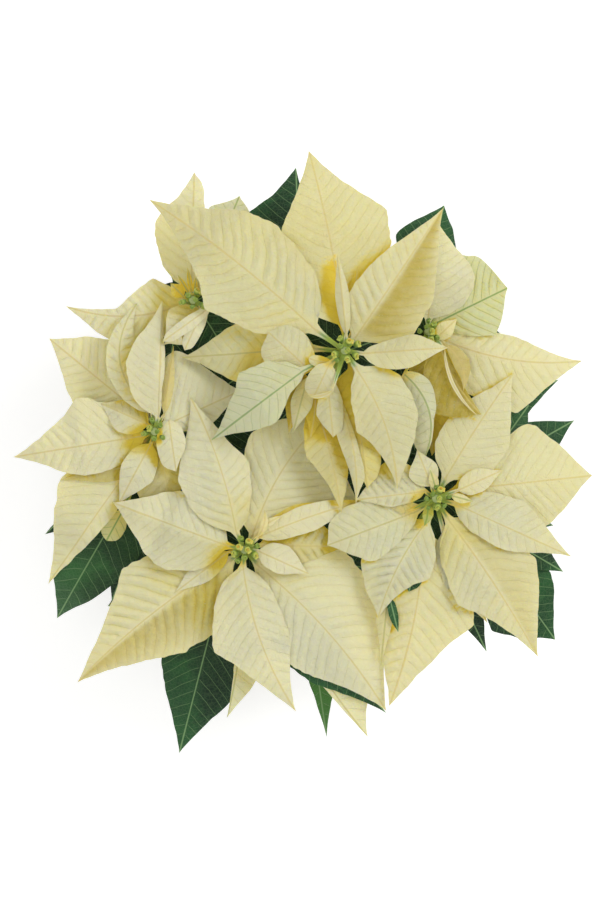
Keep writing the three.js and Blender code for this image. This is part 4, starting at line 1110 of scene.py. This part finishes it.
def grow(name, mesh, tree, values):
    """Runs a tree on a mesh and keeps the result as a plain mesh in an object of its own."""
    holder = bpy.data.objects.new(name + "_holder", mesh)
    bpy.context.scene.collection.objects.link(holder)
    modifier = holder.modifiers.new("grow", "NODES")
    modifier.node_group = tree
    for item in tree.interface.items_tree:
        if item.in_out == "INPUT" and item.name in values:
            modifier[item.identifier] = values[item.name]
    bpy.context.view_layer.update()
    graph = bpy.context.evaluated_depsgraph_get()
    plain = bpy.data.meshes.new_from_object(holder.evaluated_get(graph), depsgraph=graph)
    plain.name = name
    holder.modifiers.remove(modifier)
    bpy.data.objects.remove(holder)
    piece = bpy.data.objects.new(name, plain)
    bpy.context.scene.collection.objects.link(piece)
    return piece


def cyathia_tree():
    """A dome of cups, each turned outwards, spun, sized and aged at random by the seed."""
    tree, graph, given = new_tree("cyathia_bunch", {
        "Cup": ("NodeSocketObject", None), "Count": ("NodeSocketInt", 9),
        "Spread": ("NodeSocketFloat", 0.007), "Rise": ("NodeSocketFloat", 0.003),
        "Centre": ("NodeSocketVector", None), "Seed": ("NodeSocketInt", 1),
        "Finish": ("NodeSocketMaterial", None),
    })
    spots = graph.add("GeometryNodePoints", given["Count"]).outputs[0]
    index = graph.add("GeometryNodeInputIndex").outputs[0]
    jitter = graph.add("FunctionNodeRandomValue", data_type="FLOAT",
                       named={2: -0.25, 3: 0.25, "Seed": given["Seed"]}).outputs[1]
    angle = graph.plus(graph.times(index, GOLDEN_ANGLE), jitter)
    part = graph.math("DIVIDE", graph.plus(index, 0.3), given["Count"])
    radius = graph.times(given["Spread"], graph.math("SQRT", part))
    x = graph.times(radius, graph.math("COSINE", angle))
    y = graph.times(radius, graph.math("SINE", angle))
    z = graph.times(given["Rise"], graph.math("SUBTRACT", 1.0, part))
    place = graph.add("ShaderNodeCombineXYZ", x, y, z).outputs[0]
    moved = graph.add("ShaderNodeVectorMath", place, given["Centre"], operation="ADD").outputs[0]
    set_spots = graph.add("GeometryNodeSetPosition", spots, named={"Position": moved}).outputs[0]
    upward = graph.times(given["Spread"], 1.1)
    lean = graph.add("ShaderNodeCombineXYZ", x, y, upward).outputs[0]
    turn = graph.add("FunctionNodeAlignRotationToVector", axis="Z", named={"Vector": lean}).outputs[0]
    cup = graph.add("GeometryNodeObjectInfo", given["Cup"]).outputs["Geometry"]
    size = graph.add("FunctionNodeRandomValue", data_type="FLOAT",
                     named={2: 0.65, 3: 1.15, "Seed": given["Seed"]}).outputs[1]
    age = graph.add("FunctionNodeRandomValue", data_type="FLOAT", named={"Seed": given["Seed"]}).outputs[1]
    aged = graph.add("GeometryNodeStoreNamedAttribute", set_spots, data_type="FLOAT",
                     named={"Name": "age", "Value": age}).outputs[0]
    cups = graph.add("GeometryNodeInstanceOnPoints", aged,
                     named={"Instance": cup, "Rotation": turn, "Scale": size}).outputs[0]
    spin = graph.add("FunctionNodeRandomValue", data_type="FLOAT",
                     named={2: 0.0, 3: FULL_TURN, "Seed": given["Seed"]}).outputs[1]
    twist = graph.add("ShaderNodeCombineXYZ", 0.0, 0.0, spin).outputs[0]
    cups = graph.add("GeometryNodeRotateInstances", cups, named={"Rotation": twist}).outputs[0]
    close_tree(graph, cups, given["Finish"])
    return tree


def crumb_tree():
    """Crumbs of random size, turned every way, scattered over a sheet."""
    tree, graph, given = new_tree("soil_crumbs", {
        "Crumb": ("NodeSocketObject", None), "Density": ("NodeSocketFloat", 9000.0),
        "Smallest": ("NodeSocketFloat", 0.4), "Largest": ("NodeSocketFloat", 1.3),
        "Seed": ("NodeSocketInt", 1), "Finish": ("NodeSocketMaterial", None),
    })
    spots = graph.add("GeometryNodeDistributePointsOnFaces", given["Geometry"],
                      named={"Density": given["Density"], "Seed": given["Seed"]}).outputs[0]
    crumb = graph.add("GeometryNodeObjectInfo", given["Crumb"]).outputs["Geometry"]
    size = graph.add("FunctionNodeRandomValue", data_type="FLOAT",
                     named={2: given["Smallest"], 3: given["Largest"], "Seed": given["Seed"]}).outputs[1]
    turn = graph.add("FunctionNodeRandomValue", data_type="FLOAT_VECTOR",
                     named={1: (FULL_TURN, FULL_TURN, FULL_TURN), "Seed": given["Seed"]}).outputs[0]
    crumbs = graph.add("GeometryNodeInstanceOnPoints", spots,
                       named={"Instance": crumb, "Rotation": turn, "Scale": size}).outputs[0]
    close_tree(graph, crumbs, given["Finish"])
    return tree


# ---- Small models that the trees repeat -----------------------------------------------------------


def ball(shell, centre, radii, ripe, rings=5, sides=8):
    """A small closed egg shape."""
    levels = np.cos(np.linspace(0, math.pi, rings + 2))[1:-1][::-1]
    profile = [(0, -1), *[(math.sqrt(1 - h * h), h) for h in levels], (0, 1)]
    before = shell.count
    lathe(shell, profile, sides)
    shell.points[-1] = shell.points[-1] * np.asarray(radii, float) + np.asarray(centre, float)
    shell.tones[-1] = np.full((shell.count - before, 3), float(ripe))


CUP = [(0, 0), (0.8, 0.1), (1.5, 1.1), (2.05, 2.6), (2.2, 4.0), (1.95, 5.2), (1.35, 5.9), (1.0, 5.8),
       (0.8, 5.2), (0, 5.1)]
CUP_SIDES = 14
GLAND = dict(out=2.15, up=4.9, apart=0.75, radii=(0.85, 1.0, 0.55), ripe=0.78)
ANTHERS = 6
ANTHER = dict(reach=0.25, reach_step=0.13, up=6.35, up_step=0.25, radii=(0.36, 0.36, 0.5), ripe=0.9)


def cyathium_model():
    """A green cup with a narrow mouth, one two-lipped nectar gland on its side, anthers on top."""
    shell = Shell()
    lathe(shell, CUP, CUP_SIDES)
    rise = shell.points[-1][:, 2]
    shell.tones[-1] = np.repeat(smooth(1.5, 6.4, rise)[:, None], 3, axis=1) * 0.72
    for side in (-GLAND["apart"], GLAND["apart"]):
        spot = (GLAND["out"], side * 0.9, GLAND["up"] + 0.15 * abs(side))
        ball(shell, spot, GLAND["radii"], GLAND["ripe"])
    for k in range(ANTHERS):
        angle = k * GOLDEN_ANGLE
        reach = ANTHER["reach"] + ANTHER["reach_step"] * k
        up = ANTHER["up"] + ANTHER["up_step"] * (k % 3)
        spot = (reach * math.cos(angle), reach * math.sin(angle), up)
        ball(shell, spot, ANTHER["radii"], ANTHER["ripe"] + 0.02 * k, rings=3, sides=6)
    return shell.build("cyathium_model", crease=80)


def crumb_model(name, seed):
    """A lumpy crumb of 1 mm radius."""
    body = bmesh.new()
    bmesh.ops.create_icosphere(body, subdivisions=1, radius=1.0)
    for vertex in body.verts:
        rough = 1 + 0.35 * noise.noise(vertex.co * 1.7 + Vector((seed, 0, 0)))
        vertex.co = vertex.co * rough * MM
    mesh = bpy.data.meshes.new(name)
    body.to_mesh(mesh)
    body.free()
    crumb = bpy.data.objects.new(name, mesh)
    bpy.context.scene.collection.objects.link(crumb)
    return crumb


# ---- The pieces ------------------------------------------------------------------------------------

CREAM = bract_material()
GREEN = leaf_material()
STALK = stalk_material()
CYATHIUM = cyathium_material()


def finish_piece(piece, material, slot, *nodes):
    """Gives a piece its material and body, and names the nodes it stands for. Its slot is not used."""
    if material is not None:
        piece.data.materials.clear()
        piece.data.materials.append(material)
    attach(piece, "root")
    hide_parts(*nodes)


# Branches: how far their roots are sunk in the main stem, how they swell there and where a leaf
# leaves them, as height and share of their length, how far below a head they turn upright, and where
# their last two points lie against its top.
BRANCH_ROOT = 2.2
ROOT_SWELLING = (1.1, 0.04)
LEAF_SWELLING = (0.45, 0.018)
BRANCH_RISE = 90
BRANCH_ENDS = (-4, 0.2)

# Shares of a branch between which it turns woody downwards, and pale upwards.
BRANCH_WOODY = (0.45, 0.05)
BRANCH_PALE = (0.8, 1.0)
BRANCH_STEPS = 26
BRANCH_SIDES = 14

# A leaf's petiole: its radius, how much thinner it ends, and how much it swells over what share of it.
# It bends at a share of its way and of its drop, and runs on below a share of its blade's first stretch.
PETIOLE = dict(radius=1.7, thinning=0.75, swelling=0.5, swollen=0.06, pale=0.75, steps=14, sides=8)
PETIOLE_BEND = (0.6, 0.4)
PETIOLE_OVERLAP = 0.35


def branch_points(name, steps=BRANCH_STEPS):
    """The axis of a branch, from the main stem out and up to its head."""
    head = HEADS[name]
    x, y = head["at"]
    away = math.hypot(x, y)
    out = np.array([x / away, y / away])
    taper = (head["fork"] - TRUNK["collar"]) / (TRUNK["top"] - TRUNK["collar"])
    near = TRUNK["radius"] + (TRUNK["top_radius"] - TRUNK["radius"]) * taper + SEAT
    top = head["bottom"] - SEAT
    reach = out * (near + BRANCH["outward"])
    bends = [(*(out * near), head["fork"]), (*reach, head["fork"]), (x, y, top - BRANCH_RISE), (x, y, top)]
    return bezier(bends, steps)


def branch(shell, name):
    """A branch from inside the main stem up to its head, swollen where leaves leave it."""
    points = branch_points(name)
    x, y = HEADS[name]["at"]
    root = points[0] - (points[1] - points[0]) / np.linalg.norm(points[1] - points[0]) * BRANCH_ROOT
    top = HEADS[name]["top"]
    points = np.vstack([root, points, *([x, y, top + rise] for rise in BRANCH_ENDS)])
    along = np.linspace(0, 1, len(points))
    radii = BRANCH["radius"] + (BRANCH["top_radius"] - BRANCH["radius"]) * along
    radii = radii + ROOT_SWELLING[0] * np.exp(-(along / ROOT_SWELLING[1]) ** 2)
    for blade in LEAVES[name]:
        _, place = petiole_root(blade, points)
        radii = radii + LEAF_SWELLING[0] * np.exp(-((along - place) / LEAF_SWELLING[1]) ** 2)
    tube(shell, points, radii, sides=BRANCH_SIDES)
    woody = np.repeat(smooth(*BRANCH_WOODY, along), BRANCH_SIDES)
    pale = np.repeat(smooth(*BRANCH_PALE, along), BRANCH_SIDES)
    ends = [(1, 0, 0), (0, 1, 0)]
    rows = np.column_stack([woody, pale, np.zeros(len(woody))])
    shell.tones[-1] = np.vstack([rows, ends])


def petiole_root(blade, points):
    """Where on its branch a leaf's petiole starts, and the share of the way up it."""
    base = np.array([*blade["start"], blade["z"] + blade["lifts"][0] - LEAF_PETIOLE_DROP])
    nearest = int(np.argmin(np.linalg.norm(points - base, axis=1)))
    return points[nearest], nearest / (len(points) - 1)


def petiole(shell, blade, points):
    """A leaf's petiole: out of its branch, swollen at its root, and up under the base of its blade."""
    root, _ = petiole_root(blade, points)
    rows, _ = blade_surface(blade, np.array([0, 0.2]), np.array([0.0]))
    base = rows[0, 0]
    end = base + (rows[1, 0] - base) * PETIOLE_OVERLAP
    bend = root + (base - root) * PETIOLE_BEND[0]
    bend[2] = base[2] - PETIOLE_BEND[1] * LEAF_PETIOLE_DROP
    way = bezier([root, bend, end], PETIOLE["steps"])
    along = np.linspace(0, 1, len(way))
    swelling = PETIOLE["swelling"] * np.exp(-(along / PETIOLE["swollen"]) ** 2)
    radii = PETIOLE["radius"] - PETIOLE["thinning"] * along + swelling
    tube(shell, way, radii, sides=PETIOLE["sides"], tone=(0, PETIOLE["pale"], 0))


# Seeds: each head's blades count on from its own number, leaves far from bracts. A petiole's root is
# the nearest of this many points along its branch.
HEAD_SEEDS = 20
LEAF_SEEDS = 200
PETIOLE_STEPS = 60

for number, name in enumerate(HEADS):
    bracts = Shell()
    for k, blade in enumerate(BRACTS[name]):
        finished_blade(bracts, blade, HEAD_SEEDS * number + k)
    finish_piece(bracts.build("bloom_" + name), CREAM, "bract", "bracts_" + name)

    leaves = Shell()
    for k, blade in enumerate(LEAVES[name] + young_leaves(name)):
        finished_blade(leaves, blade, LEAF_SEEDS + HEAD_SEEDS * number + k)
    finish_piece(leaves.build("leaves_" + name), GREEN, "leaf", "leafy_stem_" + name)

    stalks = Shell()
    branch(stalks, name)
    dense = branch_points(name, PETIOLE_STEPS)
    for blade in LEAVES[name]:
        petiole(stalks, blade, dense)
    finish_piece(stalks.build("stalks_" + name), STALK, "leaf", "leafy_stem_" + name)

# A bunch of cyathia on every head, sunk a little into its stem's end.
BUNCH_SINK = 0.4
BUNCH_SEED = 11

cup_model = cyathium_model()
bunch = cyathia_tree()
for number, (name, head) in enumerate(HEADS.items()):
    centre = (head["at"][0] * MM, head["at"][1] * MM, (head["top"] - BUNCH_SINK) * MM)
    empty = bpy.data.meshes.new("cyathia_start")
    made = grow("cyathia_bunch_" + name, empty, bunch, {
        "Cup": cup_model, "Count": head["buds"], "Spread": head["spread"] * MM, "Rise": DOME_HEIGHT * MM,
        "Centre": centre, "Seed": BUNCH_SEED + number, "Finish": CYATHIUM,
    })
    finish_piece(made, None, "cyathium", "cyathia_" + name)
bpy.data.objects.remove(cup_model)

# The main stem: woody, pinched off at the top, with a ridged collar where the branches leave.
TRUNK_RINGS = 40
TRUNK_SIDES = 28
COLLAR_RIDGES = dict(height=0.35, turn=0.7, start=110, full=125)
PINCH = 1.0                              # how much narrower the pinched end is
BARK_LUMPS = dict(height=0.05, size=7, seed=3)

trunk = Shell()
trunk_z = np.linspace(TRUNK["bottom"], TRUNK["top"], TRUNK_RINGS)
trunk_r = np.interp(trunk_z, [TRUNK["bottom"], TRUNK["collar"], TRUNK["top"]],
                    [TRUNK["radius"], TRUNK["radius"], TRUNK["top_radius"]])
ridged = smooth(COLLAR_RIDGES["start"], COLLAR_RIDGES["full"], trunk_z)
trunk_r = trunk_r + COLLAR_RIDGES["height"] * np.sin(trunk_z * COLLAR_RIDGES["turn"]) * ridged
trunk_r[-1] -= PINCH
trunk_axis = np.column_stack([np.zeros(TRUNK_RINGS), np.zeros(TRUNK_RINGS), trunk_z])
tube(trunk, trunk_axis, trunk_r, sides=TRUNK_SIDES)
lumps = clouds(trunk.points[-1], BARK_LUMPS["size"], BARK_LUMPS["seed"])
trunk.points[-1][:, :2] *= (1 + BARK_LUMPS["height"] * lumps)[:, None]
finish_piece(trunk.build("main_stem"), bark_material(), "bark", "trunk")


def pot_radius(z):
    """Radius of the pot's inside at a height."""
    return POT["bottom"] + (POT["top"] - POT["bottom"]) * z / POT["height"] - POT["wall"]


def rounded(profile, radius, steps=4):
    """A profile with its inner corners rounded off."""
    points = [Vector(p) for p in profile]
    done = [points[0]]
    for before, corner, after in zip(points, points[1:], points[2:]):
        to_before = before - corner
        to_after = after - corner
        cut = min(radius, to_before.length * 0.45, to_after.length * 0.45)
        first = corner + to_before.normalized() * cut
        last = corner + to_after.normalized() * cut
        for k in range(steps + 1):
            u = k / steps
            done.append(first * (1 - u) ** 2 + corner * 2 * u * (1 - u) + last * u * u)
    done.append(points[-1])
    return [tuple(p) for p in done]


# The pot: turned in one piece, its rim wider at the top, its edges rounded, its bottom drilled.
RIM_SLANT = 1.5
POT_ROUNDING = 1.2
POT_SIDES = 112
DRAIN_HOLES = 4
DRILL_HEIGHTS = (-2, 2, 6)

rim_z = POT["height"] - POT["rim_height"]
wall = POT["wall"]
pot_shell = Shell()
lathe(pot_shell, rounded([
    (0, 0), (POT["bottom"], 0), (pot_radius(rim_z) + wall, rim_z), (POT["rim"] - RIM_SLANT, rim_z),
    (POT["rim"], POT["height"]), (pot_radius(POT["height"]), POT["height"]),
    (pot_radius(POT["floor"]), POT["floor"]), (0, POT["floor"]),
], POT_ROUNDING), POT_SIDES)
pot = pot_shell.build("pot_body", crease=35)
for k in range(DRAIN_HOLES):
    angle = (k + 0.5) * 2 * math.pi / DRAIN_HOLES
    drill = Shell()
    middle = (POT["circle"] * math.cos(angle), POT["circle"] * math.sin(angle))
    tube(drill, [(*middle, z) for z in DRILL_HEIGHTS], [POT["drain"]] * len(DRILL_HEIGHTS), sides=24)
    bit = drill.build("drain_bit")
    cut = pot.modifiers.new("drain", "BOOLEAN")
    cut.operation = "DIFFERENCE"
    cut.object = bit
    bpy.context.view_layer.update()
    depsgraph = bpy.context.evaluated_depsgraph_get()
    drilled = bpy.data.meshes.new_from_object(pot.evaluated_get(depsgraph), depsgraph=depsgraph)
    pot.modifiers.remove(cut)
    pot.data = drilled
    bpy.data.objects.remove(bit)
finish_piece(pot, pot_material(), "pot", "pot")

# Soil, its crumbs and its perlite. It stays clear of the pot, and is crowned and uneven on top.
SOIL_GAP = 0.5                                # from the pot's wall
SOIL_LIFT = 0.4                               # from the pot's floor
SOIL_SIDES = 72
SOIL_RINGS = 22
SOIL_WALL = (40, 80, 108)                     # heights of its points along the pot's wall
EDGE_DROP = 1.2                               # how much lower its top lies at the wall
SOIL_LUMPS = ((0.9, 6, 1), (0.8, 17, 2))      # height, size and seed
SHEET_SIDES = 48
SHEET_LIFT = 0.3                              # of the sheet on which the grains are strewn


def crown(share):
    """Height of the soil's top at a share of its radius."""
    return SOIL_TOP + SOIL_CROWN * (1 - share ** 2)


soil_edge = pot_radius(SOIL_TOP) - SOIL_GAP
soil_bottom = POT["floor"] + SOIL_LIFT
soil = Shell()
soil_profile = [(0, soil_bottom), (pot_radius(POT["floor"]) - SOIL_GAP, soil_bottom)]
soil_profile += [(pot_radius(z) - SOIL_GAP, z) for z in SOIL_WALL]
for share in np.linspace(1, 0.05, SOIL_RINGS):
    soil_profile.append((soil_edge * share, crown(share) - EDGE_DROP * share ** 12))
soil_profile.append((0, crown(0)))
lathe(soil, soil_profile, SOIL_SIDES)
soil_top = soil.points[-1]
on_top = soil_top[:, 2] > SOIL_TOP - 2
soil_lumps = sum(height * clouds(soil_top, size, seed) for height, size, seed in SOIL_LUMPS)
soil_top[on_top, 2] += soil_lumps[on_top]
ground = soil.build("soil_body", crease=80)

surface = Shell()
surface_rings = np.linspace(0.16, 0.97, 10)
turns = np.arange(SHEET_SIDES) * 2 * math.pi / SHEET_SIDES
surface.add(np.array([
    [soil_edge * r * math.cos(a), soil_edge * r * math.sin(a), crown(r) + SHEET_LIFT]
    for r in surface_rings for a in turns
]), grid_faces(len(surface_rings), SHEET_SIDES, closed=True))
sheet = surface.build("crumb_sheet")
scatter = crumb_tree()
soil_finish = soil_material()
crumb = crumb_model("crumb_model", 1.0)
for piece_name, density, smallest, largest, seed, look in (
    ("soil_crumbs", 90000.0, 0.5, 1.5, 5, soil_finish),
    ("perlite_grains", 6500.0, 0.7, 1.6, 8, perlite_material()),
):
    grains = grow(piece_name, sheet.data, scatter, {
        "Crumb": crumb, "Density": density, "Smallest": smallest, "Largest": largest,
        "Seed": seed, "Finish": look,
    })
    finish_piece(grains, None, "soil", "soil")
bpy.data.objects.remove(sheet)
bpy.data.objects.remove(crumb)
finish_piece(ground, soil_finish, "soil", "soil")

# ---- Floor, light and camera ---------------------------------------------------------------------------

FLOOR_HALF = 6                           # metres, as are the lights' and the camera's places
FLOOR_GLOW = 0.35
SKY_STRENGTH = 0.60
WHITE = colour(1.0, 1.0, 1.0)

floor_mesh = bpy.data.meshes.new("floor")
floor_corners = [(x * FLOOR_HALF, y * FLOOR_HALF, 0) for x, y in ((-1, -1), (1, -1), (1, 1), (-1, 1))]
floor_mesh.from_pydata(floor_corners, [], [(0, 1, 2, 3)])
floor = bpy.data.objects.new("floor", floor_mesh)
bpy.context.scene.collection.objects.link(floor)
floor_look, floor_graph, floor_shader, floor_where = new_material("pale_floor", Roughness=0.9)
floor_shade = floor_graph.mix(floor_graph.noise(floor_where, 3.0), colour(0.93, 0.93, 0.93),
                              colour(0.96, 0.96, 0.96))
floor_graph.tree.links.new(floor_shade, floor_shader.inputs["Base Color"])
floor_shader.inputs["Emission Color"].default_value = WHITE
floor_shader.inputs["Emission Strength"].default_value = FLOOR_GLOW
floor_mesh.materials.append(floor_look)

scene = bpy.context.scene
world = bpy.data.worlds.new("studio")
world.use_nodes = True
sky = world.node_tree.nodes["Background"]
sky.inputs["Color"].default_value = WHITE
sky.inputs["Strength"].default_value = SKY_STRENGTH
scene.world = world

CENTRE = Vector((0, 0, 0.25))           # what the lights face


def panel(name, place, size, power):
    """A square light panel that faces the plant."""
    light = bpy.data.lights.new(name, "AREA")
    light.size = size
    light.energy = power
    holder = bpy.data.objects.new(name, light)
    holder.location = place
    holder.rotation_euler = (CENTRE - Vector(place)).to_track_quat("-Z", "Y").to_euler()
    scene.collection.objects.link(holder)


KEY_DISTANCE = 3.6
KEY_POWER = 46.5
FRONT_PLACE = (-0.5, -0.4, 4.1)
FRONT_POWER = 30
PANEL_SIZE = 1.4
panel("key", CENTRE + Vector(LIGHT_FROM) * KEY_DISTANCE, PANEL_SIZE, KEY_POWER)
panel("front", FRONT_PLACE, PANEL_SIZE, FRONT_POWER)

# The camera looks straight down. PIXEL is what a pixel spans at the height of the bracts, and
# PLANT_PIXEL is where the pot's axis lies in its view.
PIXEL = 0.7 * MM
PLANT_PIXEL = (303, 450)
VIEW = (600, 900)
BRACT_HEIGHT = 0.27
CAMERA_ABOVE = 4.0
SENSOR = 36.0
camera = bpy.data.cameras.new("camera")
camera.sensor_width = SENSOR
camera.lens = SENSOR * CAMERA_ABOVE / (VIEW[1] * PIXEL)
eye = bpy.data.objects.new("camera", camera)
eye.location = ((VIEW[0] / 2 - PLANT_PIXEL[0]) * PIXEL, (PLANT_PIXEL[1] - VIEW[1] / 2) * PIXEL,
                BRACT_HEIGHT + CAMERA_ABOVE)
scene.collection.objects.link(eye)
scene.camera = eye
scene.view_settings.view_transform = "Standard"
